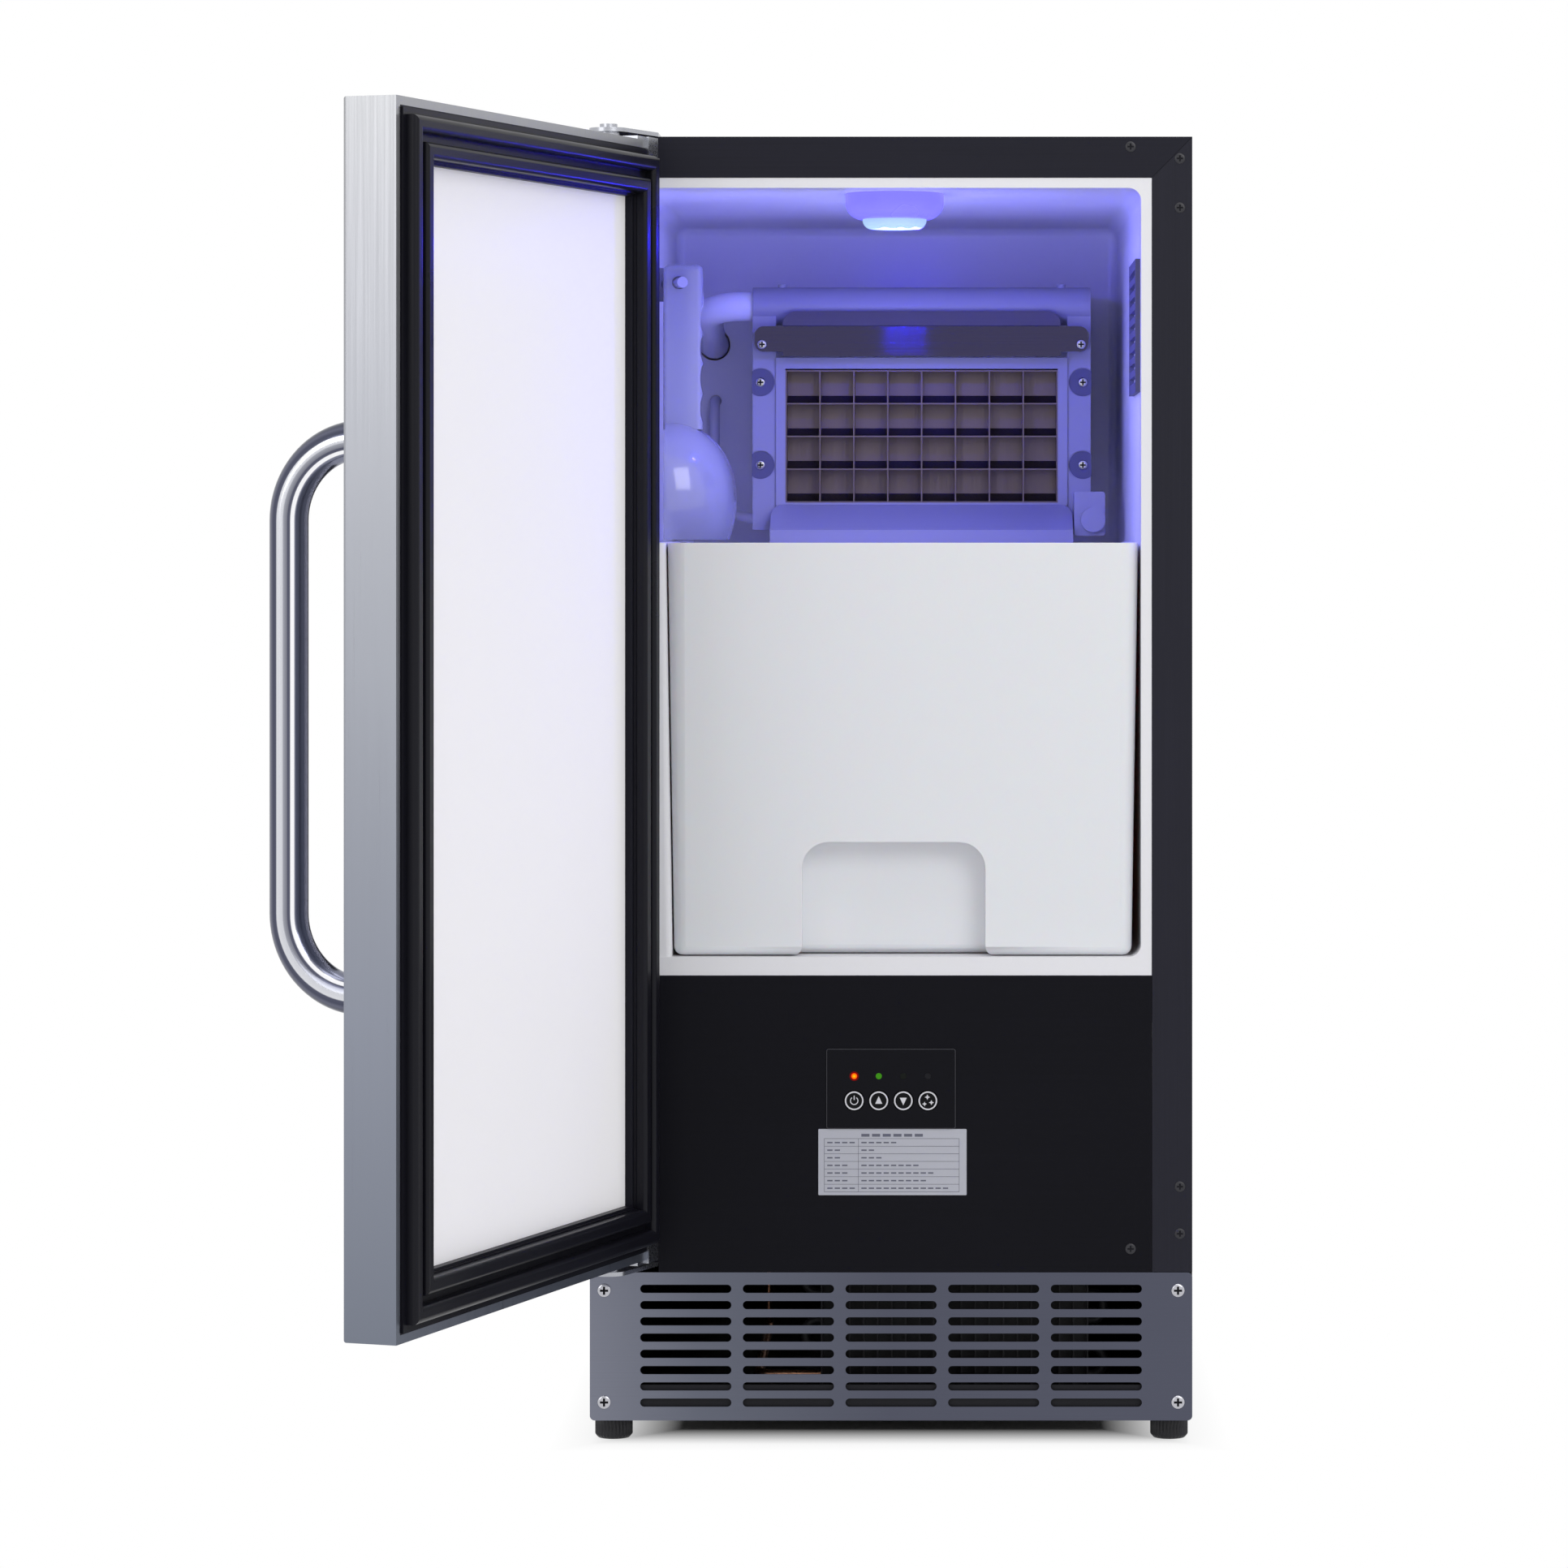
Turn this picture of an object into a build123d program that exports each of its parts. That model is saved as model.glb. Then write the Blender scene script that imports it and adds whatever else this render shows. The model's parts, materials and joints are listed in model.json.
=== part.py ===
from build123d import *
import os
from math import cos, radians, sin, tan

# Undercounter clear-ice maker with a glass door, shown with the door standing open.
# Millimetres. X runs to the right, Y to the rear, Z up. The front face of the cabinet
# is the plane Y = 0, and the origin is on the floor below the middle of that face.

# ---------------------------------------------------------------- driving sizes
# Cabinet
cabinet_w = 378.0           # width over the side skins
cabinet_d = 530.0           # front face to rear panel
cabinet_h = 820.6           # floor to top skin, with the feet screwed in
skin = 1.2                  # sheet steel of the casing
foot_show = 15.1            # height of foot that shows below the cabinet
kick_h = 93.1               # kick grille
fascia_h = 185.9            # black panel above the kick grille
trim_w = 25.2               # side trims, seen from the front
top_trim_h = 25.6           # top trim
trim_t = 1.5                # sheet of trims and fascia
trim_return = 9.0           # return flange of trims and fascia
mitre_gap = 0.3             # seam between the trims
mount_flange_w = 21.0       # front flange of the wrapper, which carries the trims
tray_t = 1.5                # base tray sheet
tray_lip = 22.0             # upturned edge of the base tray
nut_r = 11.0                # weld nut that takes a foot
nut_h = 8.0
fit = 0.2                   # gap between parts that are fitted together

# Ice cavity
rim_w = 6.9                 # white rim beside the opening
rim_top_h = 6.5             # white rim above the opening
rim_bottom_h = 11.7         # white rim below the opening
rim_set_back = 0.5          # rim behind the cabinet's front plane
liner_t = 2.5               # moulded wall of the liner
rear_wall_t = 85.0          # insulated rear wall, cavity to the outside
cavity_corner_r = 8.0
cavity_back_r = 6.5
guide_w = 15.3              # moulded rail that fills the left side beside the bin
guide_edge_r = 4.0
foam_floor_t = 30.0         # insulation under the cavity

# Screws
grille_screw_r = 4.3        # pan heads
trim_screw_r = 3.3
shank_r = 1.6
screw_head_h = 1.3
trim_head_h = 0.6
screw_l = 6.0
grille_screw_inset_x = 9.0
grille_screw_inset_z = 11.5

# Door
door_side_gap = 3.5         # door's free edge inside the cabinet's right side
door_t = 33.0
door_gap = 9.0              # steel door to cabinet front when shut
door_above_kick = 14.0
door_below_top = 5.6
door_skin = 1.2
door_edge_r = 2.5
door_lip = 5.0              # steel lip round the inner face
stile_w = 55.0              # steel stiles on the outer face
rail_w = 31.0               # steel rails on the outer face
sight_inset = 36.0          # door edge to clear glass on the inner face
pane_inset = 30.0           # door edge to the edge of the panes
pane_t = 4.0
pane_fit = 0.1
inner_lip_t = 5.0           # inner frame over the inner pane
spacer_w = 5.0
gasket_inset = 6.0
gasket_w = 28.5
gasket_t = 1.5
bulb_inset = 10.0
bulb_w = 9.5
bulb_crown_r = 3.0
bulb_clear = 0.8            # gasket to cabinet front when shut
rib_inset = 24.5
rib_w = 9.0
rib_h = 6.7
rib_crown_r = 2.5
door_open = 109.45          # angle at which the door stands open

# Hinges
pin_from_side = 14.0        # hinge axis from the cabinet's left side
pin_from_face = 7.0         # hinge axis behind the door's outer face
door_overhang = 12.5        # hinge axis to the door's hinge-side edge
pin_r = 4.0
pin_gap = 0.075             # radial running clearance
pin_head_r = 5.5
pin_head_h = 2.6
pin_grip = 16.0             # length of pin inside the door
collar_r = 7.0
collar_gap = 0.1
hinge_plate_t = 2.5
hinge_nose_r = 12.0
hinge_root_w = 41.0         # width of the plates at the cabinet front
hinge_reach = 45.0          # upper plate, behind the cabinet front
tongue_z = 3.8              # lower plate above the kick grille
tongue_leg = 45.0           # its leg inside the cabinet
block_l = 15.0              # corner block on the door's inner face
block_h = 11.0
block_plate_l = 28.0        # its plate over the end of the door
block_t = 2.0
bush_wall = 1.5

# Handle
handle_r = 11.0
handle_bend_r = 45.5
handle_standoff = 46.5      # door face to tube axis
handle_from_edge = 27.5     # free edge of the door to tube axis
handle_straight = 221.0

# Control panel
overlay_w = 81.0
overlay_h = 50.0
overlay_t = 0.8
overlay_z = 198.3           # lower edge
overlay_corner_r = 2.0
window_margin = 6.0         # overlay beyond the hole in the fascia
button_pitch = 15.4
button_n = 4
button_r = 6.3
button_gap = 0.35
button_z = 215.9
button_len = 6.0
button_proud = 1.0
button_edge_r = 0.8
led_r = 1.9
led_gap = 0.1
led_z = 231.2
control_box_d = 30.0
control_pocket_d = 7.0
control_margin = 6.0

# Kick grille slots
slot_cols = 5
slot_rows = 8
slot_margin = 31.6          # side of the grille to the first slot
slot_bridge = 7.2           # steel between two slots in a row
slot_h = 5.2
slot_bottom = 11.2          # lower edge of the grille to the lowest slot's centre
slot_top = 10.5             # upper edge of the grille to the highest slot's centre
grille_corner_r = 3.0

# Rear access panel
rear_split_drop = 5.3       # seam between the rear panels, below the fascia's top
vent_cols = 2
vent_rows = 9
vent_l = 70.0
vent_h = 4.0
vent_pitch_x = 90.0
vent_pitch_z = 12.0
vent_x = 22.0
vent_bottom_z = 123.8

# Lamp in the cavity ceiling
lamp_r = 31.5
lamp_y = 60.0
lamp_x = 1.7
lamp_edge_r = 11.0
lamp_body_h = 16.5
lens_r = 20.4
lens_drop = 6.0
lens_edge_r = 5.6

# Side vent on the cavity's right wall
grate_y0 = 15.0
grate_l = 110.0
grate_drop = 127.7          # ceiling to the lower edge of the grate
grate_h = 84.0
grate_t = 3.0
grate_bars = 9
grate_slot_h = 4.0

# Evaporator
cell_cols = 8
cell_rows = 4
cell_pitch_z = 22.45
cell_wall = 1.0
cell_depth = 22.0
shelf_drop = 5.5            # fall of each shelf from back to front
pan_t = 1.5                 # back of the cell pan
evap_left_space = 59.3      # cavity's left wall to the left bracket
evap_right_space = 22.9     # right bracket to the cavity's right wall
evap_from_back = 145.0      # its front plane to the cavity's back wall
evap_drop = 196.1           # ceiling to the lower edge of the cells
surround_w = 7.0            # white surround beside the cells
surround_t = 4.0
surround_proud = 1.0
surround_top = 9.5
surround_bottom = 2.0
bracket_w = 16.0            # front flange of each side bracket
bracket_t = 2.5
bracket_set_back = 1.0
bracket_drop = 48.1         # ceiling to the top of the brackets
web_rise = 32.0             # lower edge of the webs above the trough
seat_r = 10.0               # round seat of each evaporator screw
seat_sink = 1.2
seat_inset = 5.3
seat_rise = 25.8            # lower seats above the cells' lower edge
seat_pitch = 56.7
evap_screw_r = 3.4
coil_r = 4.0
coil_gap = 0.05
coil_bend_r = 11.0
coil_inset_left = 15.0
coil_inset_right = 31.0
coil_stagger = 15.0         # top pass beyond the lowest one
wall_hole_gap = 0.5

# Water circuit
distributor_r = 13.0
distributor_drop = 61.2     # ceiling to the tube's axis
distributor_set_back = 12.0
distributor_gap = 0.1
distributor_wall = 2.0
nub_r = 3.0
nub_h = 2.0
nub_inset = 20.0
shield_t = 1.2
shield_stand_off = 16.0     # shield in front of the brackets
shield_boss_r = 4.5
shield_drop = 93.0          # ceiling to the strip's lower edge
shield_h = 17.2
shield_end_gap = 2.0
shield_end_r = 6.0
shield_hood_h = 10.6
shield_hood_lean = 8.0
shield_hood_inset = 19.0
shield_hood_r = 9.0
shield_hem_h = 3.3
shield_hem_inset = 19.0
shield_screw_inset = 5.0
shield_screw_z = 4.8
trough_beside = 10.0        # trough beyond the cells at each side
trough_h = 25.0
trough_drop = 214.7         # ceiling to the trough's rim
trough_wall = 2.5
trough_reach = 38.0         # trough in front of the evaporator
trough_d = 86.0
slide_rise = 17.3           # ice slide above the trough
slide_gap = 1.5             # slide to surround
slide_t = 2.0
slide_corner_r = 8.0
pump_shift = 2.0            # pump to the right of the cells' middle
pump_w = 42.0
pump_d = 40.0
pump_h = 30.0
pump_motor_r = 17.0
pump_motor_h = 26.0
pump_hose_r = 6.0
sensor_below = 4.0          # sensor box below the trough's rim
sensor_w = 21.0
sensor_h = 30.0
sensor_d = 29.0
sensor_gap = 1.0
knob_r = 8.3
knob_l = 8.0
knob_rise = 10.8
hose_r = 10.0
hose_bend_r = 25.0
hose_run_in = 45.0          # straight run of the hose in front of its port
port_inset = 27.0           # cavity's left wall to the hose port
port_drop = 82.7            # ceiling to the hose port
port_depth = 18.0
port_gap = 1.0
fill_r = 3.5
fill_inset = 28.0           # cavity's left wall to the fill tube
fill_port_drop = 122.7      # ceiling to the fill tube's port
fill_stand_off = 20.0       # its drop in front of the back wall
fill_cross_rise = 14.0      # its crossing above the trough's rim
fill_end_in = 6.0           # its end inside the trough's left wall
fill_end_back = 36.0        # its end behind the cells' front plane
fill_end_rise = 3.0
fill_bend_r = 14.0
chase_d = 42.0              # pipe chase in the rear insulation
chase_margin = 4.0

# Bin and scoop
bin_side_gap = 1.5           # to the cavity's right wall
bin_guide_gap = 0.8
bin_drop = 222.7            # ceiling to the bin's rim
bin_floor_gap = 0.5
bin_front_y = 2.0
bin_back_gap = 53.0         # bin to the cavity's back wall
bin_wall = 3.0
bin_draft = 0.9             # degrees
bin_corner_r = 7.0
bin_rear_drop = 34.0        # lower rear part of the side walls
bin_step_ahead = 47.0       # step in front of the trough
bin_step_run = 30.0
grip_x = 1.6
grip_w = 115.5
grip_h = 71.5
grip_r = 17.0
grip_depth = 22.0
scoop_wall_gap = 6.4        # cavity's left wall to the scoop's handle
scoop_y = 150.0
scoop_over = 1.8            # scoop's lip above the bin's rim
scoop_wall = 2.0
bowl_r = 45.0
bowl_lip_r = 41.0
bowl_neck_r = 13.0
bowl_h = 76.0
bowl_belly_z = 36.0
scoop_handle_w = 26.0
scoop_handle_t = 20.0
scoop_handle_l = 104.0
scoop_edge_r = 4.0
scoop_wave = 1.8
scoop_wave_n = 4
scoop_groove_w = 13.0
scoop_groove_d = 6.0
hang_r = 4.2
hang_drop = 12.0            # hang hole below the top of the handle
hang_inset = 7.0
peg_r = 3.6
peg_angle = 20.0            # peg, turned from straight ahead
peg_behind = 24.0
peg_ahead = 18.0
hook_h = 22.0
hook_d = 12.0

# Machine compartment
compressor_side = 17.8      # foot plate to the right side skin
compressor_back = 130.0     # middle to the rear of the cabinet
compressor_r = 66.0
compressor_h = 150.0
seam_w = 3.0
seam_h = 4.0
shell_top_r = 34.0
shell_foot_r = 18.0
stub_r = 5.0
stub_rise = 10.0
suction_dy = 30.0
discharge_dx = -35.0
discharge_dy = -20.0
foot_plate_w = 150.0
foot_plate_d = 96.0
foot_plate_t = 3.0
grommet_r = 11.0
grommet_h = 14.0
condenser_w = 170.0
condenser_h = 176.0
condenser_d = 34.0
condenser_side = 62.8        # side skin to the condenser
condenser_y = 42.0
condenser_core = 12.0
fin_t = 1.0
fin_n = 20
condenser_rows = 9
return_bend_out = 10.0
fan_r = 55.0
fan_hub_r = 17.0
fan_depth = 20.0
blade_n = 5
blade_t = 2.0
blade_root_w = 26.0
blade_root_pitch = 40.0     # degrees
blade_tip_w = 46.0
blade_tip_pitch = 22.0      # degrees
fan_gap = 3.0
shroud_t = 2.0
shroud_d = 30.0
motor_r = 30.0
motor_l = 46.0
motor_gap = 4.0
shaft_r = 4.0
shaft_gap = 0.05
arm_w = 10.0
arm_n = 3
arm_over = 8.0              # arm beyond the shroud's hole
fan_set_back = 2.0
pipe_r = 3.2
pipe_bend_r = 12.0
drier_r = 10.0
drier_l = 90.0
drier_x = -85.0
drier_y = 260.0
drier_z = 113.8
drier_neck_l = 12.0
liquid_drop = 32.3          # foam to the liquid line
suction_over = 22.2         # suction line above the stubs
discharge_over = 17.2
discharge_side = 37.8       # side skin to the discharge line
tail_l = 10.0               # coil's tails behind the cavity wall
riser_back = 16.0

# Rear connections
inlet_side = 69.0           # cabinet's left side to the water inlet
inlet_drop = 48.3           # foam to the water inlet
inlet_r = 13.0
inlet_out = 14.0
inlet_bore_r = 8.0
neck_over = 2.0             # neck in the rear panel, round the inlet and the drain
valve_w = 44.0
valve_d = 46.0
valve_h = 40.0
drain_side = 69.0
drain_z = 63.8
drain_r = 8.0
drain_bore_r = 6.0
drain_out = 25.0
drain_flange_r = 14.0
drain_flange_t = 4.0
power_side = 69.0           # cabinet's right side to the power inlet
power_z = 65.8
power_w = 48.0
power_h = 27.0
power_d = 26.0
power_out = 2.0
power_cup_d = 16.0
power_wall = 3.0

# Feet
foot_r = 11.9
foot_inset_x = 13.3
foot_inset_y = 30.0
stud_r = 5.0
stud_gap = 0.08
stud_l = 42.0
foot_gap = 0.3
foot_edge_r = 1.5

# ---------------------------------------------------------------- derived places
half_w = cabinet_w / 2
cavity_d = cabinet_d - rear_wall_t
inner_x = half_w - skin
condenser_x0 = inner_x - condenser_side - condenser_w
panel_x = half_w - trim_w
kick_top = foot_show + kick_h
fascia_top = kick_top + fascia_h
opening_top = cabinet_h - top_trim_h
cav_x = panel_x - rim_w
cav_z0 = fascia_top + rim_bottom_h
cav_z1 = opening_top - rim_top_h
foam_z0 = fascia_top - foam_floor_t
rear_split_z = fascia_top - rear_split_drop
grate_z0 = cav_z1 - grate_drop
tray_top = foot_show + tray_t
tray_y0 = trim_t + skin + fit
tray_y1 = cabinet_d - skin - fit
wall_y = cavity_d + liner_t

pin_x = -half_w + pin_from_side
door_x0 = pin_x - door_overhang
door_x1 = half_w - door_side_gap
door_y1 = -door_gap
door_y0 = door_y1 - door_t
door_z0 = kick_top + door_above_kick
door_z1 = cabinet_h - door_below_top
pin_y = door_y0 + pin_from_face
tongue_top = kick_top + tongue_z + hinge_plate_t

bin_x0 = -cav_x + guide_w + bin_guide_gap
bin_x1 = cav_x - bin_side_gap
bin_z0 = cav_z0 + bin_floor_gap
bin_top_z = cav_z1 - bin_drop
bin_y1 = cavity_d - bin_back_gap
bin_d = bin_y1 - bin_front_y

bracket_x0 = -cav_x + evap_left_space
bracket_x1 = cav_x - evap_right_space
cells_x0 = bracket_x0 + bracket_w + surround_w
cells_x1 = bracket_x1 - bracket_w - surround_w
cell_pitch_x = (cells_x1 - cells_x0) / cell_cols
cells_h = cell_rows * cell_pitch_z
evap_y = cavity_d - evap_from_back
evap_z = cav_z1 - evap_drop
flange_y = evap_y + bracket_set_back
bracket_top_z = cav_z1 - bracket_drop
seat_zs = (evap_z + seat_rise, evap_z + seat_rise + seat_pitch)
distributor_z = cav_z1 - distributor_drop
shield_z = cav_z1 - shield_drop
web_y = flange_y + bracket_t
distributor_y = evap_y + distributor_set_back
shield_y = flange_y - shield_stand_off
coil_y = evap_y + cell_depth + pan_t + coil_r + coil_gap
coil_x0 = cells_x0 + coil_inset_left
coil_x1 = cells_x1 - coil_inset_right
coil_z0 = evap_z + cell_pitch_z / 2
coil_z1 = coil_z0 + (cell_rows - 1) * cell_pitch_z
coil_end_y = wall_y + tail_l
riser_y = coil_end_y + riser_back
trough_x0 = cells_x0 - trough_beside
trough_x1 = cells_x1 + trough_beside
trough_y0 = evap_y - trough_reach
trough_top_z = cav_z1 - trough_drop
trough_z0 = trough_top_z - trough_h
web_bottom_z = trough_top_z + web_rise
sensor_z = trough_top_z - sensor_below
pump_x = (cells_x0 + cells_x1) / 2 + pump_shift
bin_step_y = trough_y0 - bin_step_ahead

port_x = -cav_x + port_inset
port_z = cav_z1 - port_drop
fill_x = -cav_x + fill_inset
fill_port_z = cav_z1 - fill_port_drop
fill_drop_y = cavity_d - fill_stand_off

scoop_x = -cav_x + scoop_wall_gap
scoop_lip_z = bin_top_z + scoop_over
scoop_top_z = scoop_lip_z + bowl_h + scoop_handle_l
hang_x = scoop_x + hang_inset
hang_z = scoop_top_z - hang_drop
bowl_x = scoop_x + scoop_wall

compressor_x = inner_x - compressor_side - foot_plate_w / 2
compressor_y = cabinet_d - compressor_back
stub_top = tray_top + grommet_h + foot_plate_t + compressor_h + stub_rise
inlet_x = -half_w + inlet_side
inlet_z = foam_z0 - inlet_drop
drain_x = -half_w + drain_side
power_x = half_w - power_side

fan_x = condenser_x0 + condenser_w / 2
fan_z = tray_top + condenser_h / 2
shroud_y = condenser_y + condenser_d
shroud_back = shroud_y + shroud_d
fan_y = shroud_back - fan_set_back - fan_depth / 2
motor_y = shroud_back + motor_gap


# ---------------------------------------------------------------- helpers
def slab(x0, x1, y0, y1, z0, z1):
    """Block between two corners."""
    return Pos((x0 + x1) / 2, (y0 + y1) / 2, (z0 + z1) / 2) * Box(x1 - x0, y1 - y0, z1 - z0)


def front_plate(sketch, y0, y1):
    """Outline drawn in X and Z, with thickness from y0 back to y1."""
    return Pos(0, y0, 0) * extrude(Plane.XZ * sketch, amount=y0 - y1)


def side_plate(points, x0, x1):
    """Outline given as (Y, Z) corners, with thickness from x0 to x1."""
    return Pos(x0, 0, 0) * extrude(Plane.YZ * Polygon(*points, align=None), amount=x1 - x0)


def rounded_panel(x0, x1, y0, y1, z0, z1, radius):
    """Block whose four edges along Y are rounded."""
    outline = Pos((x0 + x1) / 2, (z0 + z1) / 2) * RectangleRounded(x1 - x0, z1 - z0, radius)
    return front_plate(outline, y0, y1)


def rod(start, end, radius):
    """Round bar between two points."""
    run = Vector(*end) - Vector(*start)
    return extrude(Plane(origin=start, z_dir=run) * Circle(radius), amount=run.length)


def bar_along(points, radius, bend):
    """Round bar along straight runs joined by tangent arcs."""
    path = FilletPolyline(*points, radius=bend)
    section = Plane(origin=points[0], z_dir=Vector(*points[1]) - Vector(*points[0])) * Circle(radius)
    return sweep(section, path=path)


def turned(points, x, y, z):
    """Solid of revolution about a vertical axis, from (radius, height) corners."""
    return Pos(x, y, z) * revolve(Plane.XZ * Polygon(*points, align=None), axis=Axis.Z)


def both_sides(shape):
    """Shape together with its mirror image to the left."""
    return shape + mirror(shape, about=Plane.YZ)


def joined(shapes):
    """One shape from several."""
    return Part() + list(shapes)


def screw(x, y, z, head_r, head_h):
    """Screw whose head lies on the plane at y and faces forward."""
    return rod((x, y - head_h, z), (x, y, z), head_r) + rod((x, y, z), (x, y + screw_l, z), shank_r)


def shank_hole(x, z, y0, y1):
    """Hole for the shank of a screw."""
    return rod((x, y0 - 1, z), (x, y1 + 1, z), shank_r)


# ---------------------------------------------------------------- cabinet
def trim_screw_places():
    """Screws of the trims and fascia, as X and Z."""
    side = half_w - trim_screw_r * 2.36
    corner = panel_x - trim_screw_r * 4.1
    heights = (cabinet_h - 13.7, cabinet_h - 44.6, kick_top + 53.6, kick_top + 24.1)
    places = [(sign * side, z) for sign in (-1, 1) for z in heights]
    return places + [(sign * corner, z) for sign in (-1, 1) for z in (cabinet_h - 6.3, kick_top + 14.6)]


def grille_screw_places():
    """Screws of the kick grille, as X and Z."""
    x = half_w - grille_screw_inset_x
    return [(sign * x, z) for sign in (-1, 1)
            for z in (foot_show + grille_screw_inset_z, kick_top - grille_screw_inset_z)]


def drill_front(sheet, y0, y1):
    """Shank holes through a front sheet, for every screw that passes it."""
    for x, z in trim_screw_places() + grille_screw_places():
        sheet -= shank_hole(x, z, y0, y1)
    return sheet


def tongue_slot():
    """Way through trim, fascia and flange for the tongue of the lower hinge."""
    x0 = pin_x - hinge_nose_r - fit
    return slab(x0, x0 + hinge_root_w + 2 * fit, -1, trim_t + trim_return + 1, kick_top - 1, tongue_top + fit)


def cabinet_wrapper():
    """Top and side skins in one piece, with a front flange that carries the trims."""
    flange_y1 = trim_t + skin
    wrapper = slab(-half_w, half_w, trim_t, cabinet_d, foot_show, cabinet_h)
    wrapper -= slab(-inner_x, inner_x, trim_t - 1, cabinet_d + 1, foot_show - 1, cabinet_h - skin)
    side = slab(half_w - mount_flange_w, inner_x, trim_t, flange_y1, foot_show, cabinet_h - skin)
    top = slab(-inner_x, inner_x, trim_t, flange_y1, cabinet_h - mount_flange_w, cabinet_h - skin)
    wrapper = drill_front(wrapper + both_sides(side) + top, trim_t, screw_l) - tongue_slot()
    return wrapper & rounded_panel(-half_w, half_w, 0, cabinet_d, foot_show,
                                   cabinet_h + grille_corner_r, grille_corner_r)


def rear_panel():
    """Plain sheet behind the cavity."""
    edge = inner_x - fit
    return slab(-edge, edge, cabinet_d - skin, cabinet_d, rear_split_z, cabinet_h - skin - fit)


def rear_access_panel():
    """Louvred sheet behind the machine compartment, with holes for the connections."""
    edge = inner_x - fit
    y0 = cabinet_d - skin
    panel = slab(-edge, edge, y0, cabinet_d, foot_show + fit, rear_split_z - fit)
    for col in range(vent_cols):
        x = vent_x + col * vent_pitch_x
        for row in range(vent_rows):
            z = vent_bottom_z + row * vent_pitch_z
            panel -= slab(x - vent_l / 2, x + vent_l / 2, y0 - 1, cabinet_d + 1, z, z + vent_h)
    panel -= rod((inlet_x, y0 - 1, inlet_z), (inlet_x, cabinet_d + 1, inlet_z), inlet_r + neck_over)
    panel -= rod((drain_x, y0 - 1, drain_z), (drain_x, cabinet_d + 1, drain_z), drain_r + neck_over)
    return panel - power_block(0, y0 - 1, cabinet_d + 1)


def foot_places():
    """Levelling feet, as X and Y, front pair first."""
    x = half_w - foot_inset_x
    return [(sign * x, y) for y in (foot_inset_y, cabinet_d - foot_inset_y) for sign in (-1, 1)]


def base_tray():
    """Pan with an upturned edge, and a weld nut over each foot."""
    edge = inner_x - fit
    tray = slab(-edge, edge, tray_y0, tray_y1, foot_show, foot_show + tray_lip)
    tray -= slab(-edge + tray_t, edge - tray_t, tray_y0 + tray_t, tray_y1 - tray_t, tray_top, cabinet_h)
    for x, y in foot_places():
        tray += rod((x, y, foot_show), (x, y, tray_top + nut_h), nut_r)
        tray -= rod((x, y, foot_show - 1), (x, y, tray_top + nut_h + 1), stud_r + stud_gap)
    return drill_front(tray, tray_y0, tray_y0 + tray_t)


def right_trim():
    """Right front trim with a mitred top and a return beside the opening."""
    z0 = kick_top + fit
    outline = Polygon((panel_x, z0), (half_w, z0), (half_w, cabinet_h - mitre_gap),
                      (panel_x, opening_top - mitre_gap), align=None)
    trim = front_plate(outline, 0, trim_t)
    trim += slab(panel_x, panel_x + skin, trim_t, trim_t + trim_return, z0, opening_top - mitre_gap)
    return drill_front(trim, 0, trim_t)


def left_trim():
    """Mirror of the right trim, notched for the lower hinge."""
    return mirror(right_trim(), about=Plane.YZ) - tongue_slot()


def top_trim():
    """Top front trim, mitred at both ends."""
    outline = Polygon((-panel_x, opening_top), (panel_x, opening_top), (half_w, cabinet_h),
                      (-half_w, cabinet_h), align=None)
    trim = front_plate(outline, 0, trim_t)
    trim += slab(-panel_x, panel_x, trim_t, trim_t + trim_return, opening_top, opening_top + skin)
    return drill_front(trim, 0, trim_t)


def lower_fascia():
    """Black panel below the opening, with a window behind the control overlay."""
    x = panel_x - fit
    z0 = kick_top + fit
    z1 = fascia_top - fit
    fascia = slab(-x, x, 0, trim_t, z0, z1)
    fascia += slab(-x, x, trim_t, trim_t + trim_return, z1 - skin, z1)
    fascia += slab(-x, x, trim_t, trim_t + trim_return, z0, z0 + skin)
    fascia -= control_window(-1, trim_t + 1)
    return drill_front(fascia, 0, trim_t) - tongue_slot()


def kick_grille():
    """Stainless sheet with rows of round-ended slots."""
    grille = rounded_panel(-half_w, half_w, 0, trim_t, foot_show, kick_top - fit, grille_corner_r)
    slot_l = (cabinet_w - 2 * slot_margin - (slot_cols - 1) * slot_bridge) / slot_cols
    pitch_z = (kick_h - slot_bottom - slot_top) / (slot_rows - 1)
    slots = GridLocations(slot_l + slot_bridge, pitch_z, slot_cols, slot_rows) * SlotOverall(slot_l, slot_h)
    middle = foot_show + (kick_h + slot_bottom - slot_top) / 2
    grille -= Pos(0, 0, middle) * front_plate(Sketch() + slots, -1, trim_t + 1)
    return drill_front(grille, 0, trim_t)


def black_screws():
    """Low-headed screws of the trims and fascia."""
    return joined(screw(x, 0, z, trim_screw_r, trim_head_h) for x, z in trim_screw_places())


def steel_screws():
    """Bright screws of the kick grille, the evaporator and its splash shield."""
    screws = [screw(x, 0, z, grille_screw_r, screw_head_h) for x, z in grille_screw_places()]
    for x in seat_xs():
        screws += [screw(x, flange_y + seat_sink, z, evap_screw_r, screw_head_h) for z in seat_zs]
    screws += [screw(x, shield_y, z, trim_screw_r, screw_head_h) for x, z in shield_screw_places()]
    return joined(screws)


# ---------------------------------------------------------------- ice cavity
def cavity_space(grow, y0):
    """Space of the ice cavity, larger all round by grow, from y0 to the back wall."""
    space = rounded_panel(-cav_x - grow, cav_x + grow, y0, cavity_d + grow,
                          cav_z0 - grow, cav_z1 + grow, cavity_corner_r + grow)
    back = space.faces().sort_by(Axis.Y)[-1]
    return fillet(back.edges(), cavity_back_r + grow)


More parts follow.
